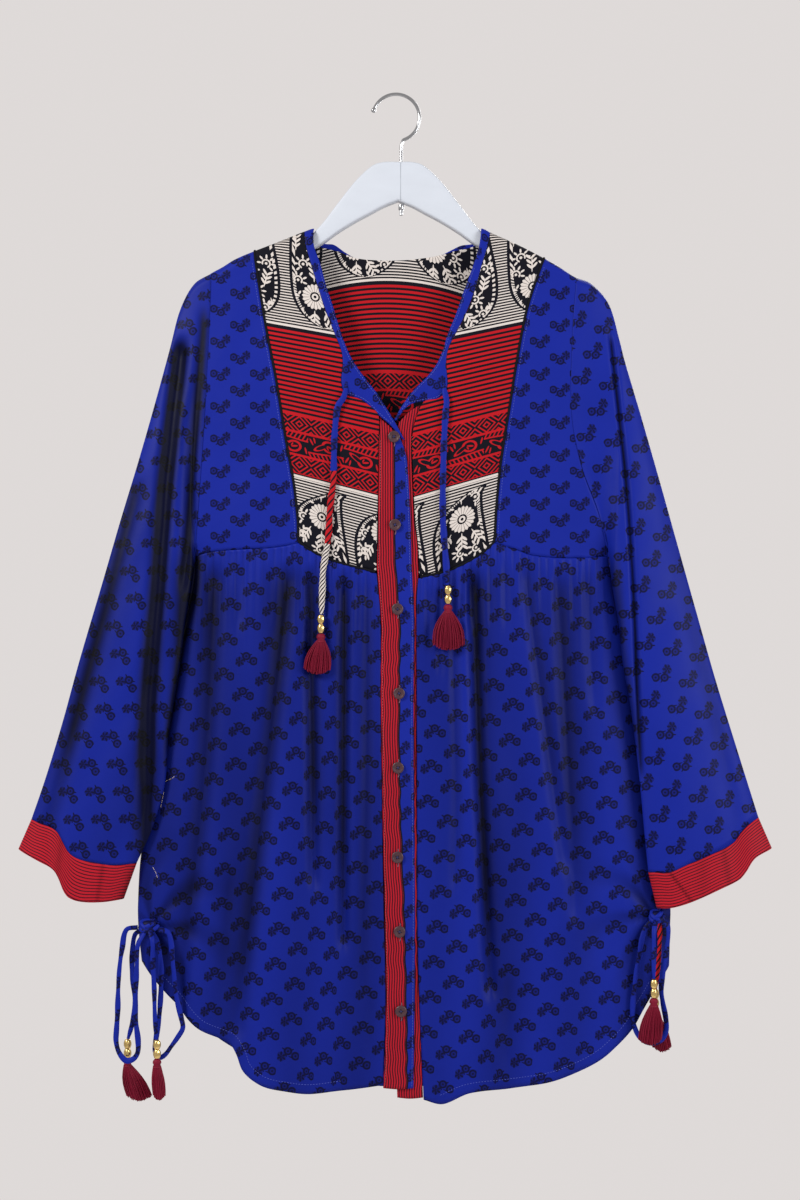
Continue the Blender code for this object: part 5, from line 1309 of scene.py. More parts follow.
# The print's line under the shoulder: its place across and down, its slope, and the big motif's middle.
YOKE_PRINT = {RIGHT: (266, 318.4, 0.18, 326), LEFT: (524.7, 316.9, 0.21, 466)}
YOKE_PRINT_SIZE, YOKE_PRINT_GROWS = 0.955, 0.0005


def yoke_panel(node, hand):
    """Half the front yoke: its print slopes down from the shoulder towards the middle."""
    outer = shifted(YOKE_OUTER[hand], -hand * PIPING_CHANNEL)
    neck = shifted(NECK_OUTER[hand][:YOKE_NECK_POINTS[hand]], hand * NECK_GAP, NECK_GAP)
    neck += YOKE_FRONT_EDGE[hand]
    bottom = shifted(YOKE_BOTTOM[hand], 0, -PIPING_CHANNEL)
    first, last = by_hand(hand, *[(edge[-1][0], edge[-1][1] - PIPING_CHANNEL) for edge in (outer, neck)])
    across_0, down_0, slope, motif = YOKE_PRINT[hand]

    def printed(across, down):
        t = (across_0 - across) * hand
        size = YOKE_PRINT_SIZE + YOKE_PRINT_GROWS * t
        return np.stack([across - motif, (down - down_0 - slope * t) / size], -1)

    shoulder_panel(node, FRONT, outer, neck, [first] + bottom[1:-1] + [last], hand, 44, 100,
                   print_cloth, printed, hand == LEFT)


for hand, word in HANDS:
    edge = shifted(YOKE_OUTER[hand], hand * PIPING_CHANNEL)
    side_panel(f"front_side_{word}", FRONT, hand, edge, WAIST[hand], 40, 90)
    yoke_panel(f"front_yoke_{word}", hand)
    edge = shifted(BACK_YOKE_OUTER[hand], hand * WAIST_GAP)
    side_panel(f"back_side_{word}", BACK, hand, edge, BACK_WAIST[hand], 36, 80)
print("pieces so far:", len(made_pieces))

# %% Back yoke
# The print's middle, its line's place down, its arch, the middle of a motif, and its size.
BACK_PRINT, BACK_PRINT_SIZE = (386.0, 272.0, 0.0022, 367.0), 1.03
BACK_NECK_START, BACK_NECK_STOP = 305, 490
left, right = [as_arcs(shifted(BACK_YOKE_OUTER[hand], -hand * WAIST_GAP), BACK) for hand, _ in HANDS]
top = [*shoulder_edge(left[0][0], BACK_NECK_START, BACK), *as_arcs(BACK_NECK, BACK),
       *shoulder_edge(BACK_NECK_STOP, right[0][0], BACK)]
bottom = as_arcs(BACK_YOKE_BOTTOM, BACK)
edges = [top[0], *left[1:-1], bottom[0]], [top[-1], *right[1:-1], bottom[-1]], top, bottom


def back_print(across, arc):
    middle, down_0, arch, motif = BACK_PRINT
    q = (down_of(across, behind(arc)) - down_0 - arch * (across - middle) ** 2) / BACK_PRINT_SIZE
    return np.stack([across - motif, q], -1)


def behind(arc):
    """Keeps the back yoke behind the shoulder seam, where its neck edge curves."""
    return np.minimum(arc, -SEAM_GAP / 2)


panel("back_yoke", edges, 120, shoulder_rows(BACK_ROWS), print_cloth, BACK,
      lambda across, arc, u, v: torso(across, behind(arc)), back_print)

# %% Skirts
# How the painted shade of a fold sets in, fades out at its lower end, and spreads to either side.
SHADE_START, SHADE_EARLY, SHADE_FADE, SHADE_WIDE = 30, 150, 170, (2.375, 1.045)
TAKEN_IN, FLAT_FOLD, PRINT_SIZE, FRONT_TILT, ROWS_NEAR_SEAM = 1.1, 2.4, 0.92, 0.1, 1.15
SIDE_STATIONS = (ARMPIT_DOWN, 650, 750, 850, 905, 935)


def fold_shade(across, down, folds):
    """How much painted shade the folds give a place: broad, and fading slowly at their lower ends."""
    total = np.zeros_like(down, float)
    for *path, depth, wide, start, end in folds:
        length = ease((down - start) / SHADE_START) * (1 - ease((down - end + SHADE_EARLY) / SHADE_FADE))
        offset = (across - fold_middle(down, path)) / wide * (1 if path[2] > path[0] else -1)
        broad = np.where(offset > 0, *SHADE_WIDE)
        total += depth * length * (0.5 * np.exp(-offset ** 2) + 0.42 * np.exp(-((offset - 0.4) / broad) ** 2))
    return total


def gathered_print(across, down, folds):
    """The print's place across: cloth that a fold takes in is lost between two motifs."""
    for *path, depth, wide, start, end in folds:
        offset = (across - fold_middle(down, path)) / wide
        across = across + TAKEN_IN * max(depth - FLAT_FOLD, 0) * np.tanh(offset)
    return across


def back_fold(k):
    """One gather behind, as a row of the fronts' table."""
    share = (k + 0.5) / BACK_GATHERS * 2 - 1
    waist_at = CENTRE + 196 * share + 4 * math.sin(2.3 * k)
    hem_at = CENTRE + 232 * share + 6 * math.sin(1.7 * k + 1)
    depth, end = 3.4 + 1.5 * math.sin(2.9 * k + 0.5), 900 + 130 * math.sin(4.1 * k)
    return waist_at, (waist_at + hem_at) / 2, hem_at, depth, BACK_GATHER_WIDE, ARMPIT_DOWN, end


BACK_FOLDS = [back_fold(k) for k in range(BACK_GATHERS)]


def ruching(across, down):
    """Creases that fan out from the knot where a drawcord gathers the side."""
    total = np.zeros_like(down, float)
    for hand, word in HANDS:
        run, fall = (across - KNOTS[word][0]) * -hand, down - KNOTS[word][1]
        far, angle = np.hypot(run, fall), np.arctan2(fall, run)
        wave = np.maximum(np.sin(angle * 7 + 0.9 * np.sin(far * 0.05)), -0.3)
        total += wave * np.exp(-((far - 30) / 42) ** 2)
    return total


def skirt_depth(across, down, side, seam):
    """The body's depth, less the folds and the fine gathers, which calm down at the side seams."""
    folds = front_folds(across, down) if side == FRONT else folds_at(across, down, BACK_FOLDS)
    fine = pucker(across, down, seam) + ripple(across * 1.4, down * 0.5, 1.3) * ease((down - 600) / 150)
    fine = fine + (1.6 * ruching(across, down) if side == FRONT else 0.0)
    calm = ease(from_edge(across, down) / SIDE_CALM)
    return side * (unfolded_depth(across, down) - (folds * SHOWN_FOLD + np.maximum(fine, -0.8)) * calm)


def skirt_painted_shade(across, down, side, seam, folds):
    """Painted shade in folds and gathers, under the arms, in the creases at a knot, and all below the seam.
    """
    edge, left_half = from_edge(across, down), across > CENTRE
    # Painted shade at the side seams, where the sleeves hang over the body.
    under_arm = np.where(left_half, 0.3, 0.95) * np.exp(-(edge / 6) ** 2) * (1 - ease((down - 720) / 60))
    broad = np.where(left_half, 0.5 * ease((down - 600) / 120), 0.24)
    under_arm = under_arm + broad * np.exp(-(edge / 24) ** 2) * (1 - ease((down - 900) / 70))
    gathers = 0.16 * np.maximum(pucker(across, down, seam), 0)
    # Painted shade over the skirt below the seam, deeper on the right half, with slow waves.
    slow = 0.1 * np.sin(across * 0.09 + 0.6 * np.sin(down * 0.013))
    slow = slow + 0.07 * np.sin(across * 0.041 + down * 0.006)
    general_shade = (np.where(left_half, 0.16, 0.23) + slow) * ease((down - seam) / 60)
    creases = 0.3 * ruching(across, down) if side == FRONT else 0.0
    return general_shade + gathers + SHADE_PER_MM * fold_shade(across, down, folds) + under_arm + creases


def side_line(hand, corner_down):
    """The side of the skirt, from the armpit to the corner of the hem."""
    stations = (*SIDE_STATIONS, corner_down)
    return [(float(CENTRE + hand * smooth(HALF_WIDTH[hand], down)), down) for down in stations]


def crowded(u, turn=math.pi / 2):
    """Sets more columns near the side seam, or near both, where the cloth turns away."""
    return (1 - SIDE_CROWDING) * u + SIDE_CROWDING * (1 - np.cos(u * turn)) / (1 - math.cos(turn))


def crowded_left(u):
    return 1 - crowded(1 - u)


def skirt_panel(node, side, left, right, seam, hem, columns, rows, folds, near, tilt, lapped=False):
    """A gathered panel between two side lines, with the print that its folds take in."""
    top = [left[0]] + seam[1:-1] + [right[0]]

    def surface(across, down, u, v):
        deeper = lap(across) if lapped else 0.0
        return place(across, skirt_depth(across, down, side, smooth(sorted(top), across)) + deeper, down)

    def printed(across, down):
        along = gathered_print(across, down, folds)
        return np.stack([-along - tilt * down, tilt * along - down], -1) * PRINT_SIZE

    def painted_shade(across, down):
        return skirt_painted_shade(across, down, side, smooth(sorted(top), across), folds)

    places = np.linspace(0, 1, rows + 1) ** ROWS_NEAR_SEAM
    panel(node, (left, right, top, hem), columns, places, blue_cloth, side, surface, printed,
          painted_shade, near)


for hand, word in HANDS:
    waist, hem = shifted(WAIST[hand], 0, WAIST_GAP), SKIRT_HEM[hand]
    under_yoke = shifted(YOKE_BOTTOM[hand], 0, PIPING_CHANNEL)
    if hand == RIGHT:
        left, right = side_line(hand, hem[0][1]), SKIRT_FRONT_EDGE[hand]
        hem = [left[-1]] + hem[1:]
        seam = waist[:-1] + [(waist[-1][0] + 0.5, waist[-1][1] + 0.2)] + under_yoke[1:]
        near = crowded
    else:
        left, right = SKIRT_FRONT_EDGE[hand], side_line(hand, hem[-1][1])
        hem = hem[:-1] + [right[-1]]
        seam = under_yoke[:-1] + [(waist[0][0] - 0.5, waist[0][1] + 0.2)] + waist[1:]
        near = crowded_left
    skirt_panel(f"front_skirt_{word}", FRONT, left, right, seam, hem, 150, 120, FRONT_FOLDS[hand], near,
                FRONT_TILT, hand == LEFT)

left, right = side_line(RIGHT, BACK_HEM[0][1]), side_line(LEFT, BACK_HEM[-1][1])
seam = (shifted(BACK_WAIST[RIGHT], 0, WAIST_GAP) + shifted(BACK_YOKE_BOTTOM[1:-1], 0, 2 * WAIST_GAP)
        + shifted(BACK_WAIST[LEFT], 0, WAIST_GAP))
hem = [left[-1]] + BACK_HEM[1:-1] + [right[-1]]
skirt_panel("back_skirt", BACK, left, right, seam, hem, 230, 110, BACK_FOLDS,
            lambda u: crowded(u, math.pi), 0.0)
print("panels made:", len(made_pieces))

# %% [markdown]
# ## Plackets and bindings
#
# The wearer's right front carries the placket that shows: a red striped band whose outer edge is
# faced in blue. It laps over the red one below. The neck is bound in blue, and the binding widens
# into a leaf at the foot of the V before it runs on into the ties.

# %% Plackets
EDGE_RISE, PLACKET_EDGE, BINDING_EDGE = 0.5, 0.07, 0.12
UNDER_SPLIT = [(405, 403.0), (437, 399.0), (600, 404.0), (900, 404.0), (1000, 405.0), (1096, 404.5)]


def body_depth(across, down):
    return -smooth(CENTRE_DEPTH, down) * bulge(across, down)


def turned_edges(u, wide):
    """A band is thicker where its two edges are turned under."""
    return EDGE_RISE * (np.exp(-(u / wide) ** 2) + np.exp(-((1 - u) / wide) ** 2))


def placket(node, left, right, top, bottom, deeper, material, split):
    """A band between two drawn edges, with one more point in the middle of each end."""
    def surface(across, down, u, v):
        wavy = ripple(down * 1.2, across, 0.35) * np.sin(u * math.pi)
        return place(across, body_depth(across, down) + deeper + turned_edges(u, PLACKET_EDGE) + wavy, down)

    def printed(across, down):
        wander = 0.55 * np.sin(down * 0.19 + 2 * np.sin(down * 0.047)) * ease((down - 520) / 90)
        return np.stack([across - smooth(split, down) + wander, down], -1)

    edges = left, right, [left[0], top, right[0]], [left[-1], bottom, right[-1]]
    panel(node, edges, 16, np.linspace(0, 1, 221), material, FRONT, surface, printed)


placket("placket_over", PLACKET_OVER_LEFT, PLACKET_OVER_RIGHT, (390.5, 427.5), (398, 1087), 0.0,
        placket_cloth, PLACKET_SPLIT)
placket("placket_under", PLACKET_UNDER_LEFT, PLACKET_UNDER_RIGHT, (410, 411), (410, 1097), LAP_DEPTH,
        under_cloth, UNDER_SPLIT)

# %% Neck bindings
BACK_BINDING_DOWN, BACK_BINDING_OUT = 8.0, 1.8
for hand, word in HANDS:
    left, right = by_hand(hand, as_arcs(NECK_OUTER[hand], FRONT), as_arcs(NECK_INNER[hand], FRONT))
    top = shoulder_edge(left[0][0], right[0][0], FRONT)

    def surface(across, arc, u, v):
        deeper = lap(across) if hand == LEFT else 0.0
        return torso(across, arc, deeper + turned_edges(u, BINDING_EDGE) * ease(v * 30))

    edges = [top[0], *left[1:]], [top[-1], *right[1:]], top, [left[-1], right[-1]]
    panel(f"neck_binding_{word}", edges, 12, np.linspace(0, 1, 121), blue_cloth, FRONT,
          surface, lambda across, arc: np.stack([across * 1.1, arc], -1))


def back_binding(u, v):
    upper, lower = route(BACK_BINDING, u), route(shifted(BACK_BINDING, 0, BACK_BINDING_DOWN), u)
    across, down = (upper + (lower - upper) * v[:, None]).T
    return torso(across, arc_at(across, down, BACK), BACK_BINDING_OUT)


cloth_piece("neck_binding_back", back_binding, 90, 6, blue_cloth, BACK,
            lambda u, v: np.stack([u * 180, v * 9 + 3], -1))

# %% [markdown]
# A black cotton cord is let into the seam round the front yoke. It is a plain round tube.

# %% Piping
PIPING_WIDE, PIPING_SUNK, PIPING_START, PIPING_TUCK = 2.6, 0.35, 0.6, 1.2
for hand, word in HANDS:
    bottom = YOKE_BOTTOM[hand]
    line = YOKE_OUTER[hand] + (bottom[1:] if hand == RIGHT else bottom[-2::-1])
    line[-1] = (line[-1][0] + hand * PIPING_TUCK, line[-1][1])
    fine = as_arcs(line, FRONT, 10)
    across, arc = fine[fine[:, 1] > PIPING_START].T
    spots = torso(across, arc, (lap(across) if hand == LEFT else 0.0) + PIPING_SUNK)
    cord = tube_mesh(spots, PIPING_WIDE, PIPING_WIDE, 12)
    keep(to_object(f"yoke_piping_{word}_cord", cord, piping_cloth), f"yoke_piping_{word}")

# %% [markdown]
# ## Sleeves and cuffs
#
# A sleeve is a flattened tube that flares from the armhole to the cuff. Each row of the table is
# a line across it. Long folds run down the front of it, and its end sags between the fold lines.

# %% Sleeve tables
# outer across, outer down, inner across, inner down, half thickness, outer depth, inner depth
SLEEVE_ROWS = {
    RIGHT: [
        (210, 271, 193.3, 555.2, 9, 0, 0), (192, 282.5, 193.8, 559, 9, 0, -2),
        (178, 309, 193, 567, 9, 0, -5), (168, 348, 191.2, 579, 10, -1, -8),
        (154, 400, 189, 596, 11, -2, -10), (137, 460, 184.5, 625, 12, -3, -11),
        (119, 520, 180.5, 660, 12, -4, -11), (101, 582, 174, 700, 12, -4, -11),
        (78, 660, 168, 740, 12, -4, -11), (61, 722, 164.5, 785, 12, -4, -11),
        (44, 778, 153, 826, 12, -4, -11), (29.6, 820, 136.5, 863, 12, -4, -10),
    ],
    LEFT: [
        (578, 275.5, 611.7, 555.2, 9, 0, 0), (594, 282.5, 610.8, 559, 9, 0, -4),
        (611, 303, 610.6, 567, 9, 0, -8), (621, 338, 611.6, 579, 10, -1, -12),
        (627, 362, 613.6, 596, 11, -2, -14), (644, 420, 618.5, 625, 12, -3, -15),
        (661, 480, 622, 660, 12, -4, -15), (678, 541, 629, 700, 12, -4, -15.5),
        (700, 620, 634.5, 740, 12, -5, -16), (717, 680, 639.5, 785, 12, -5, -16.5),
        (738, 748, 643.5, 830, 12, -5, -17), (760, 818, 647.5, 871, 12, -5, -17),
    ],
}
SLEEVE_LAST = len(SLEEVE_ROWS[RIGHT]) - 1
CUFF_HEM = {RIGHT: (16.5, 850, 123.5, 899, 13, -4, -10), LEFT: (773.5, 849, 656, 907, 13, -5, -17)}
END_SAG = {
    RIGHT: [
        (0, 0), (0.1, -0.6), (0.2, -0.9), (0.27, 1), (0.32, 7.8), (0.37, 15), (0.45, 18), (0.6, 15.5),
        (0.77, 11), (1, 0),
    ],
    LEFT: [(0, 0), (0.1, 1), (0.17, 5), (0.24, 11), (0.44, 11.6), (0.64, 9.8), (0.82, 9), (1, 0)],
}
HEM_SAG = {
    RIGHT: [
        (0, 0), (0.22, 0.8), (0.35, 2.6), (0.4, 8), (0.45, 18), (0.5, 22), (0.61, 20.6), (0.8, 12), (1, 0),
    ],
    LEFT: [
        (0, 0), (0.14, -1), (0.19, 1.5), (0.24, 8), (0.3, 12.3), (0.46, 11.5), (0.71, 9.7), (0.88, 6),
        (1, 0),
    ],
}
ARMHOLE_BOW = {
    RIGHT: [(0, 0), (0.5, 1), (1, 0)],
    LEFT: [(0, 0), (0.2, -10.5), (0.5, -21), (0.68, -17.5), (0.84, -6.5), (1, 0)],
}
SLEEVE_STATIONS = (330.0, 480.0, 580.0, 700.0, 820.0)
# across at the five stations, depth, half width, start and end down
SLEEVE_FOLDS = {
    RIGHT: [
        (181, 166, 159, 149, 146, 6.5, 7.6, 330, 1000), (203, 191, 185, 176, 168, 3.5, 5, 300, 600),
        (170, 136, 112, 80, 50, 2.8, 9, 470, 1000),
    ],
    LEFT: [(611, 625.6, 632, 637, 643, 4.2, 2.6, 320, 790), (650, 668, 685, 712, 735, 1.6, 11, 400, 1000)],
}
# painted shade on a sleeve, under the arm: more reach, how dark; the folds: power, how dark, lost below; the
# elbow; everywhere
SLEEVE_SHADE = {RIGHT: (5.5, 1, 1, 1.25, 0.62, 0.42, 0.17), LEFT: (0, 0.7, 1.5, 1, 0.3, 0, -0.06)}
# painted shade along creases on a cuff: across at the seam and at the hem, how dark, half width
CUFF_CREASE_SHADE = {
    RIGHT: [(141, 126, 0.75, 7), (62, 58, 0.25, 3), (104, 98, 0.3, 2.5)],
    LEFT: [(668, 690, 0.6, 1.3), (722, 728, 0.25, 3), (700, 702, 0.15, 6)],
}
# The print on a sleeve is turned by this angle, in degrees, and moved on behind.
SLEEVE_TURN, BEHIND_SHIFT = {RIGHT: 218, LEFT: -27}, 400.0


# %% Sleeves
def flat_tube(values, t):
    """Places round a flattened tube, from its outer fold, whose rows hold the table's values."""
    outer_x, outer_y, inner_x, inner_y, half, outer_depth, inner_depth = values.T
    there = np.where(t <= 0.5, t * 2, 2 - t * 2)
    share = 0.5 * there + 0.25 * (1 - np.cos(math.tau * t))
    lens = np.where(t <= 0.5, FRONT, BACK) * 2 * np.sqrt(np.maximum(share * (1 - share), 0.0))
    across, down = outer_x + (inner_x - outer_x) * share, outer_y + (inner_y - outer_y) * share
    return share, lens, across, outer_depth + (inner_depth - outer_depth) * share + half * lens, down


def sleeve_folds(hand, across, down):
    return folds_at(across, down, SLEEVE_FOLDS[hand], SLEEVE_STATIONS)


def sleeve_row(hand, row):
    return smooth([(k, *values) for k, values in enumerate(SLEEVE_ROWS[hand])], row)


def sleeve_spots(hand, row, t):
    """Places on a sleeve: it leaves the body at the armhole, rolls over the shoulder, folds and sags."""
    values = sleeve_row(hand, row)
    share, lens, across, depth, down = flat_tube(values, t)
    across = across + smooth(ARMHOLE_BOW[hand], share) * (1 - ease(row / 3))
    over = SLEEVE_OVER * (1 - ease(row / 1.5)) * np.sin(np.clip(share, 0, 1) * math.pi) ** 0.3
    across = across - hand * over
    down = down + smooth(END_SAG[hand], share) * (row / SLEEVE_LAST) ** 3
    on_body = 1 - ease(row / 2.5)
    rolled = np.sin(np.arccos(1 - np.clip(down - values[:, 1], 0, ROLL) / ROLL))
    body = np.copysign(body_depth(across, down) * rolled, lens) * np.minimum(1, np.abs(lens) * 4)
    calm = np.minimum(1.0, np.abs(lens) * 1.5) * ease(row / 1.5)
    folds = np.where(lens < 0, sleeve_folds(hand, across, down), 0.0) * calm * SHOWN_FOLD
    uneven = ripple(across * 1.3 + down * 0.4, down * 0.8, 1.1) * calm * ease(row / 4)
    proud = np.copysign(SLEEVE_PROUD, lens) * (1 - ease(row / 2))
    return across, depth * (1 - on_body) + body * on_body + folds + uneven + proud, down


def sleeve_painted_shade(hand, row, t):
    """Painted shade on a sleeve: under the arm, in its folds, at the right one's elbow, and all over."""
    across, _, down = sleeve_spots(hand, row, t)
    values = sleeve_row(hand, row)
    reach, strong, power, dark, lost, elbow, always = SLEEVE_SHADE[hand]
    # Painted shade along the sleeve's inner edge, under the arm.
    edge = np.abs(values[:, 2] - across) / (3.5 + reach * (1 - ease((down - 570) / 140)))
    inner = strong * np.exp(-edge ** 2) * ease((down - 540) / 40) * (1 - ease((down - 720) / 70))
    folds = dark * (sleeve_folds(hand, across, down) / HOLLOW_AT) ** power
    folds = folds * (1 - lost * ease((down - 725) / 70))
    # Painted shade of a broad crease at the right sleeve's elbow; the left one has none.
    crease = ease((down - 715) / 50) * (1 - ease((down - 830) / 60))
    crease = crease * elbow * np.exp(-((across - 150) / 15) ** 2)
    # An even painted shade over the whole sleeve, which is less on the left one.
    general_shade = always + 0.08 * np.sin(flat_tube(values, t)[0] * 9 + down * 0.01)
    return np.where(t <= 0.5, folds, 0.0) + inner + crease + general_shade


def cuff_spots(hand, v, t):
    """Places on a cuff, which goes on from the sleeve's last row."""
    first, last = np.array(SLEEVE_ROWS[hand][-1], float), np.array(CUFF_HEM[hand], float)
    share, lens, across, depth, down = flat_tube(first + (last - first) * v[:, None], t)
    down = down + smooth(END_SAG[hand], share) * (1 - v) + smooth(HEM_SAG[hand], share) * v
    folds = np.where(lens < 0, sleeve_folds(hand, across, down), 0.0) * np.minimum(1.0, np.abs(lens) * 1.5)
    return across, depth + folds, down


# Painted shade along the creases on the front of a cuff.
def cuff_painted_shade(hand, v, t):
    across = cuff_spots(hand, v, t)[0]
    return sum(dark * np.exp(-((across - seam - (hem - seam) * v) / wide) ** 2)
               for seam, hem, dark, wide in CUFF_CREASE_SHADE[hand]) * (t <= 0.5)


for hand, word in HANDS:
    c, s = math.cos(math.radians(SLEEVE_TURN[hand])), math.sin(math.radians(SLEEVE_TURN[hand]))

    def printed(u, v):
        across, _, down = sleeve_spots(hand, v * SLEEVE_LAST, u % 1.0)
        side = np.where(u > 0.5, BEHIND_SHIFT, 0.0)
        return np.stack([across * c + down * s + side, down * c - across * s], -1) * PRINT_SIZE

    def striped(u, v):
        return np.stack([u * 230, v * 36.25 + 0.35 * np.sin(u * 60)], -1)

    def sleeve(u, v):
        return place(*sleeve_spots(hand, v * SLEEVE_LAST, u % 1.0))

    cloth_piece(f"sleeve_{word}", sleeve, 180, 130, blue_cloth, FRONT, printed, tube=True,
                painted_shade=lambda u, v: sleeve_painted_shade(hand, v * SLEEVE_LAST, u % 1.0))
    cloth_piece(f"cuff_{word}", lambda u, v: place(*cuff_spots(hand, v, u % 1.0)), 150, 16,
                cuff_cloth, FRONT, striped, tube=True, painted_shade=lambda u, v: cuff_painted_shade(hand, v, u % 1.0))
print("with sleeves and cuffs:", len(made_pieces))

# %% [markdown]
# ## Hanger
#
# The hanger is flat wood with a rounded edge, cut from two halves that meet in the middle, and
# painted white. A bright wire hook is screwed into it.

# %% Hanger and hook
HANGER_CENTRE, HANGER_THICK, HANGER_ROUND = 398.0, 12.0, 3.6
HANGER_REACH, HANGER_SECTIONS, HANGER_SIDES = 173.0, 150, 40
# out, upper, lower
HANGER_HALF = [
    (0, 159, 199), (15, 159.3, 205), (26, 163, 211), (42, 177.5, 219.5), (60, 200, 230.5),
    (74, 218.5, 240.5), (81.5, 227, 245), (87, 232.5, 248), (108, 241.5, 258.5), (149, 261.5, 279),
    (166, 271, 288), (173, 277.5, 291),
]
JOINT_SIZE, JOINT_OUT, JOINT_DOWN = (0.5, 12.12, 37.5), 2.6, 179.4
HOOK_WIRE, HOOK_BEND, HOOK_START, HOOK_END, HOOK_POINTS, SHAFT_ACROSS = 1.65, 23.65, -72.0, 157.0, 60, 401.2
SHAFT = [(SHAFT_ACROSS, 160.5), (SHAFT_ACROSS, 150), (401.3, 142.5), (402.2, 139.2)]
# How far on from the bend, and how thick, as a share of the wire.
HOOK_TIP = [(0.5, 1.2), (1.0, 1.35), (1.7, 1.46), (2.4, 1.5), (3.0, 1.4), (3.6, 1.2), (4.0, 0.9), (4.2, 0.6)]
SCREW_DOWN, SCREW_SIDES = 201.7, 24
SCREW_PROFILE = [
    (0, 0), (2.6, 0), (2.75, 0.4), (2.75, 1.6), (2.2, 2), (2.75, 2.4), (2.75, 5), (2.4, 5.5), (1.9, 6),
    (1.9, 6.6), (1.55, 7), (1.9, 7.4), (1.9, 8), (1.55, 8.4), (1.9, 8.8), (1.9, 10.4), (1.2, 10.9), (0, 11),
]


def board(u, v):
    """A rounded rectangle at each place along the hanger, from one end to the other."""
    out = (v * 2 - 1) * HANGER_REACH
    upper, lower = smooth(HANGER_HALF, np.abs(out)).T
    c, s = np.cos(u * math.tau), np.sin(u * math.tau)
    depth = np.clip(c * 3, -1, 1) * (HANGER_THICK / 2 - HANGER_ROUND) + c * HANGER_ROUND
    rise = np.clip(s * 3, -1, 1) * ((lower - upper) / 2 - HANGER_ROUND) + s * HANGER_ROUND
    return place(HANGER_CENTRE + out, depth, (upper + lower) / 2 - rise)


bm = bent_grid(board, HANGER_SIDES, HANGER_SECTIONS, lambda u, v: np.stack([u, v], -1), tube=True)
wood = to_object("hanger_wood_board", close_ends(bm, HANGER_SIDES), white_paint, 50)
keep(wood, "hanger_wood")

bm = bmesh.new()
bmesh.ops.create_cube(bm, size=1.0)
bmesh.ops.scale(bm, verts=bm.verts, vec=np.array(JOINT_SIZE) * MM)
bmesh.ops.translate(bm, verts=bm.verts, vec=place(HANGER_CENTRE + JOINT_OUT, 0, JOINT_DOWN))
keep(to_object("hanger_joint_line", bm, grey_line), None)

angles = np.radians(np.linspace(HOOK_START, HOOK_END, HOOK_POINTS))
bend_down = ORIGIN_DOWN + HOOK_BEND - HOOK_WIRE
wire = [place(x, 0, y) for x, y in SHAFT]
wire += list(place(ORIGIN_ACROSS + HOOK_BEND * np.cos(angles), 0, bend_down - HOOK_BEND * np.sin(angles)))
swell = [1.0] * len(wire) + [size for _, size in HOOK_TIP]
ahead = np.array([-math.sin(angles[-1]), 0, math.cos(angles[-1])])
wire += [wire[-1] + ahead * along * MM for along, _ in HOOK_TIP]
thick = np.array(swell) * 2 * HOOK_WIRE
keep(to_object("hanger_hook_wire", tube_mesh(wire, thick, thick, 20), chrome, 40), "hanger_hook")
bm = turned(SCREW_PROFILE, SCREW_SIDES)
bmesh.ops.translate(bm, verts=bm.verts, vec=place(SHAFT_ACROSS, 0, SCREW_DOWN))
keep(to_object("hanger_screw_end", bm, chrome, 40), "hanger_screw")

# %% [markdown]
# ## Buttons, buttonholes and stitches
#
# Eight dark coconut shell buttons close the placket. Each has a raised rim, four holes and a
# knot of thread, and lies on a buttonhole with loose thread ends. Top stitching is real thread:
# each stitch is a short bar that dips at both ends.

# %% Buttons
BUTTONS = [
    (394, 437), (395, 525), (397.5, 609), (399, 693), (398, 767), (397.5, 856), (399.5, 930), (401, 1009),
]
# Radius and height above the button's back.
BUTTON_PROFILE = [
    (0, 2), (1.5, 2), (3.6, 2.1), (4.3, 2.45), (4.9, 2.6), (5.4, 2.45), (5.8, 2), (5.8, 0.9), (5.4, 0.4),
    (0, 0.3),
]
BUTTON_SIDES, BUTTON_LIFT, BUTTON_TURN = 48, 0.5, 0.35
HOLE_OUT, HOLE_UP, HOLE_RADIUS, HOLE_DEEP, HOLE_SIDES = 1.55, 1.9, 0.62, 0.5, 12
# The thread's way out of a hole: distance from the middle, and height.
THREAD_RISE, THREAD_TOP, THREAD_OVER, THREAD_WIDE = ((1.5, 1.7), (0.7, 2.5)), 2.75, 0.3, 0.7
ENDS_BELOW, ENDS_ABOVE, ENDS_ASIDE = (5.2, 9.6), (-8.2, -5.2), (0.4, 0.9, 0.2)
ENDS_LIFT, ENDS_WIDE = 0.35, 1.0


def button(across, down, turn):
    """A button's disc, holes and crossed threads, turned by an angle and set on the placket."""
    corners = [turn + math.pi / 2 * k + math.pi / 4 for k in range(4)]
    holes, threads = [], []
    for angle in corners:
        # Each hole is a black plug: painted shade where the hole goes into the button.
        hole = bmesh.new()
        bmesh.ops.create_cone(hole, cap_ends=True, segments=HOLE_SIDES, radius1=HOLE_RADIUS * MM,
                              radius2=HOLE_RADIUS * MM, depth=HOLE_DEEP * MM)
        spot = np.array([HOLE_OUT * math.cos(angle), HOLE_OUT * math.sin(angle), HOLE_UP]) * MM
        bmesh.ops.translate(hole, verts=hole.verts, vec=spot)
        holes.append(hole)
    for k in (0, 1):
        sides = [[(out * math.cos(angle), out * math.sin(angle), up) for out, up in THREAD_RISE]
                 for angle in (corners[k], corners[k + 2])]
        line = sides[0] + [(0, 0, THREAD_TOP + THREAD_OVER * k)] + sides[1][::-1]
        threads.append(tube_mesh(np.array(line) * MM, THREAD_WIDE, THREAD_WIDE, 6))
    disc = turned([(radius, -up) for radius, up in BUTTON_PROFILE], BUTTON_SIDES)
    centre = Vector(place(across, float(body_depth(across, down)) - BUTTON_LIFT, down))
    for part in [disc, *holes, *threads]:
        for vert in part.verts:
            x, y, z = vert.co
            vert.co = Vector((x, -z, y)) + centre
        bmesh.ops.recalc_face_normals(part, faces=part.faces)
    return disc, holes, threads


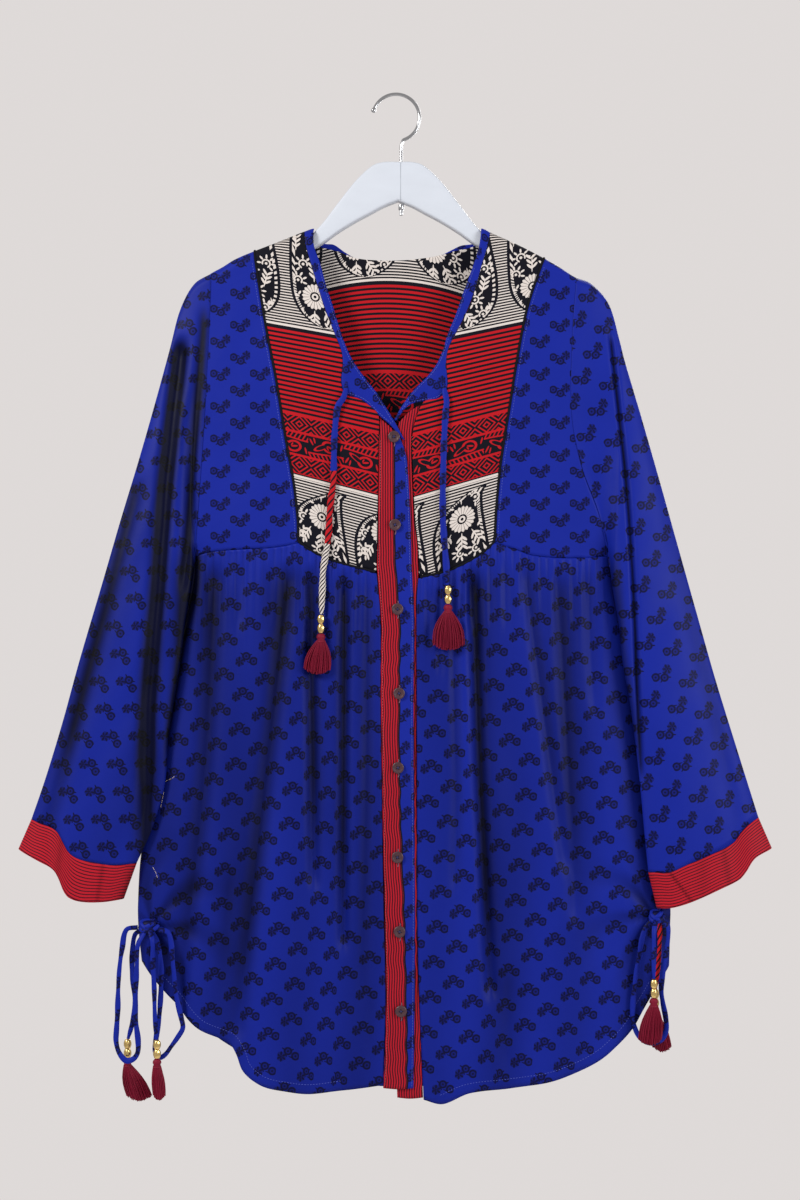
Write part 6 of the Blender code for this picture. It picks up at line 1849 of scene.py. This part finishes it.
hole_shade_parts, thread_parts, end_parts = [], [], []
for k, (across, down) in enumerate(BUTTONS):
    for start, end in (ENDS_BELOW, ENDS_ABOVE) if k > 1 else (ENDS_BELOW,):
        x, y = across + np.array(ENDS_ASIDE), down + np.array([start, (start + end) / 2, end])
        end_parts.append(tube_mesh(place(x, body_depth(x, y) - ENDS_LIFT, y), ENDS_WIDE, ENDS_WIDE, 6))
    disc, holes, threads = button(across, down, BUTTON_TURN * k)
    keep(to_object(f"button_{k + 1}_shell", disc, shell, 40), f"button_{k + 1}")
    hole_shade_parts += holes
    thread_parts += threads
keep(joined("buttonhole_ends", end_parts, thread_mauve), None)
# Black plugs that paint the shade in the buttons' holes.
keep(joined("button_hole_shade", hole_shade_parts, piping_cloth), None)
keep(joined("button_threads", thread_parts, thread_dark), None)

# %% [markdown]
# A line of stitches follows a drawn line at a small distance above the cloth.

# %% Stitching
STITCH_WIDE, STITCH_SIDES, STITCH_DIP, STITCH_SPOTS = 0.42, 5, 0.4, np.array([-0.5, -0.3, 0.0, 0.3, 0.5])
YOKE_STITCH_IN, HEM_STITCH_UP = 3.6, 9.5


def front_spots(points, lift):
    """Places on the front of the garment above a drawn line."""
    across, down = np.array(points).T
    deeper = lap(across) * (across > CENTRE)
    yoke = torso(across, arc_at(across, down), deeper)
    skirt = place(across, skirt_depth(across, down, FRONT, np.full_like(down, YOKE_FOOT)) + deeper, down)
    return np.where((down < ARMPIT_DOWN)[:, None], yoke, skirt) - (0, lift * MM, 0)


def placket_spots(points, lift):
    across, down = np.array(points).T
    return place(across, body_depth(across, down) - lift, down)


def stitch_line(name, lines, material, pitch=2.8, long=1.6, lift=0.08, spots_of=front_spots):
    """Stitches of one length, evenly spaced along some drawn lines."""
    parts = []
    for points in lines:
        spots = spots_of(finer(points, 12), lift)
        along = lengths_along(spots)
        for k in range(int(along[-1] / (pitch * MM))):
            at = (k + 0.5) * pitch * MM + STITCH_SPOTS * long * MM
            line = np.stack([np.interp(at, along, spots[:, axis]) for axis in range(3)], 1)
            line[[0, -1], 1] += STITCH_DIP * MM
            parts.append(tube_mesh(line, STITCH_WIDE, STITCH_WIDE, STITCH_SIDES))
    print(f"{name}: {len(parts)} stitches")
    return keep(joined(name, parts, material), None)


def hem_above(points, rise):
    """A line at one distance inside the hem."""
    points = np.array(points, float)
    ahead = np.gradient(points, axis=0)
    ahead /= np.linalg.norm(ahead, axis=1)[:, None]
    return points + np.column_stack([ahead[:, 1], -ahead[:, 0]]) * rise


stitch_line("yoke_edge_stitches", [shifted(YOKE_OUTER[hand][1:], hand * YOKE_STITCH_IN) for hand, _ in HANDS],
            thread_blue)
stitch_line("neck_edge_stitches", [shifted(NECK_OUTER[hand][11:16], -hand, -1.6) for hand, _ in HANDS]
            + [shifted(NECK_INNER[hand][2:12], hand * 1.8, 0.6) for hand, _ in HANDS], thread_blue, lift=0.2)
stitch_line("placket_edge_stitches", [shifted(PLACKET_OVER_RIGHT[1:], -1.8)], thread_blue, lift=0.05,
            spots_of=placket_spots)
stitch_line("placket_seam_stitches", [shifted(PLACKET_OVER_LEFT[1:], 1.6)], thread_red, lift=0.05,
            spots_of=placket_spots)
SIDE_STITCHES = [
    [(161, 786), (165.5, 781.5), (171, 779), (177, 774)], [(163, 792), (159, 812)],
    [(151.5, 868), (155, 874), (157, 880)],
]
stitch_line("side_seam_stitches", SIDE_STITCHES, thread_pale, pitch=4.2, long=3.2, lift=0.3)
stitch_line("hem_stitches", [hem_above(SKIRT_HEM[hand][1:-1], HEM_STITCH_UP) for hand, _ in HANDS],
            thread_blue, pitch=2.9)

# %% [markdown]
# Each drawcord is held by a slip knot. It is a coiled lump of the same folded strip: three turns
# round a core.

# %% Knots
TURNS = ((0.25, 1.0), (-0.5, 0.86), (1.1, 0.7))
TURN_POINTS, TURN_INSIDE, TURN_STEP, STRIP_WIDE, STRIP_THICK = 40, (2.4, 1.6, 2.2), 1.1, 4.6, 3.0
CORE_SHARE = (0.72, 0.7, 0.72)
t = np.linspace(0, math.tau, TURN_POINTS)
for word, (across, down, ahead, wide, high, deep) in KNOTS.items():
    middle, halves, parts = place(across, -ahead, down), np.array([wide, deep, high]), []
    for k, (tilt, size) in enumerate(TURNS):
        x, y, z = halves - TURN_INSIDE
        ring = np.stack([np.cos(t) * x * size, np.sin(t) * y, np.sin(t + tilt) * z * size], 1)
        line = middle + (ring + (0, 0, (k - 1) * TURN_STEP)) * MM
        parts.append(tube_mesh(line, STRIP_WIDE, STRIP_THICK))
    core = bmesh.new()
    bmesh.ops.create_icosphere(core, subdivisions=3, radius=1.0)
    for vert in core.verts:
        vert.co = middle + np.array(vert.co) * halves * CORE_SHARE * MM
    core.loops.layers.uv.new("cloth")
    knot = joined(f"drawcord_knot_{word}_cloth", [core, *parts], blue_cloth)
    keep(knot, f"drawcord_knot_{word}")
print("all pieces:", len(made_pieces))

# %% [markdown]
# ## Room, floor and light
#
# A plain pale floor lies well below the hem. One large soft light stands ahead on the left, a
# weaker one on the right, and one behind. The pale surroundings fill in the rest.

# %% Floor, lights and surroundings
FLOOR_DROP, FLOOR_RADIUS, WALL_TONE, SKY_SHARE = 2.0, 1.6, (0.735, 0.70, 0.69), 0.62
LIGHTS_MEET = (0, 0, -0.5)
bm = bmesh.new()
bmesh.ops.create_circle(bm, cap_ends=True, segments=96, radius=FLOOR_RADIUS)
bmesh.ops.translate(bm, verts=bm.verts, vec=(0, 0, -FLOOR_DROP))
floor = to_object("floor", bm, plain("pale_floor", (0.70, 0.68, 0.67), 0.8, 8, 0.0005, 0.03))
floor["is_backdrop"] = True


def soft_light(name, where, size, power, tint):
    """A round light that looks at the middle of the garment."""
    data = bpy.data.lights.new(name, "AREA")
    data.shape = "DISK"
    data.size, data.energy, data.color = size, power, tint
    lamp = bpy.data.objects.new(name, data)
    lamp.location = where
    lamp.rotation_euler = (Vector(LIGHTS_MEET) - Vector(where)).to_track_quat("-Z", "Y").to_euler()
    bpy.context.scene.collection.objects.link(lamp)


soft_light("key light", (-1.7, -1.5, 0.7), 0.8, 47, (1.0, 0.985, 0.96))
soft_light("fill light", (1.9, -1.4, -0.1), 1.2, 30, (0.97, 0.985, 1.0))
soft_light("back light", (0.8, 2.0, 0.4), 1.4, 30, (1.0, 1.0, 1.0))
world = bpy.data.worlds.new("pale room")
world.use_nodes = True
tree = world.node_tree
seen, glow = tree.nodes["Background"], tree.nodes.new("ShaderNodeBackground")
for node, strength in ((seen, 1.0), (glow, SKY_SHARE)):
    node.inputs[0].default_value = (*WALL_TONE, 1)
    node.inputs[1].default_value = strength
rays, choose = tree.nodes.new("ShaderNodeLightPath"), tree.nodes.new("ShaderNodeMixShader")
for k, output in enumerate((rays.outputs["Is Camera Ray"], glow.outputs[0], seen.outputs[0])):
    tree.links.new(output, choose.inputs[k])
tree.links.new(choose.outputs[0], tree.nodes["World Output"].inputs[0])
bpy.context.scene.world = world
bpy.context.scene.view_settings.view_transform = "Standard"

# %% [markdown]
# ## The cut sizes of the cloth, and a count of the pieces
#
# Every panel's cut size is listed, with what holds it and, where it is gathered, its fullness.

# %% Sheets and the end
CUTS = {
    # node: width and length in metres, what holds it and, where it is gathered, its fullness
    "front_side_right": (0.108, 0.322, "hanger_wood"),
    "front_side_left": (0.122, 0.320, "hanger_wood"),
    "front_yoke_right": (0.118, 0.352, "hanger_wood"),
    "front_yoke_left": (0.118, 0.352, "hanger_wood"),
    "back_yoke": (0.300, 0.330, "hanger_wood"),
    "back_side_right": (0.108, 0.322, "hanger_wood"),
    "back_side_left": (0.122, 0.320, "hanger_wood"),
    "front_skirt_right": (0.340, 0.560, "front_yoke_right", 1.25),
    "front_skirt_left": (0.340, 0.570, "front_yoke_left", 1.25),
    "back_skirt": (0.660, 0.560, "back_yoke", 1.2),
    "placket_over": (0.036, 0.672, "front_yoke_right"),
    "placket_under": (0.032, 0.695, "front_yoke_left"),
    "neck_binding_right": (0.026, 0.240, "hanger_wood"),
    "neck_binding_left": (0.026, 0.230, "hanger_wood"),
    "neck_binding_back": (0.010, 0.185, "back_yoke"),
    "sleeve_right": (0.330, 0.680, "front_side_right"),
    "sleeve_left": (0.330, 0.680, "front_side_left"),
    "cuff_right": (0.262, 0.042, "sleeve_right"),
    "cuff_left": (0.262, 0.042, "sleeve_left"),
}
for node, (wide, long, holder, *gathered) in CUTS.items():
    piece = made_pieces[node + "_cloth"]

low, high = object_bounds()
faces = sum(len(piece.data.polygons) for piece in made_pieces.values())
print("pieces:", len(made_pieces), "faces before modifiers:", faces)
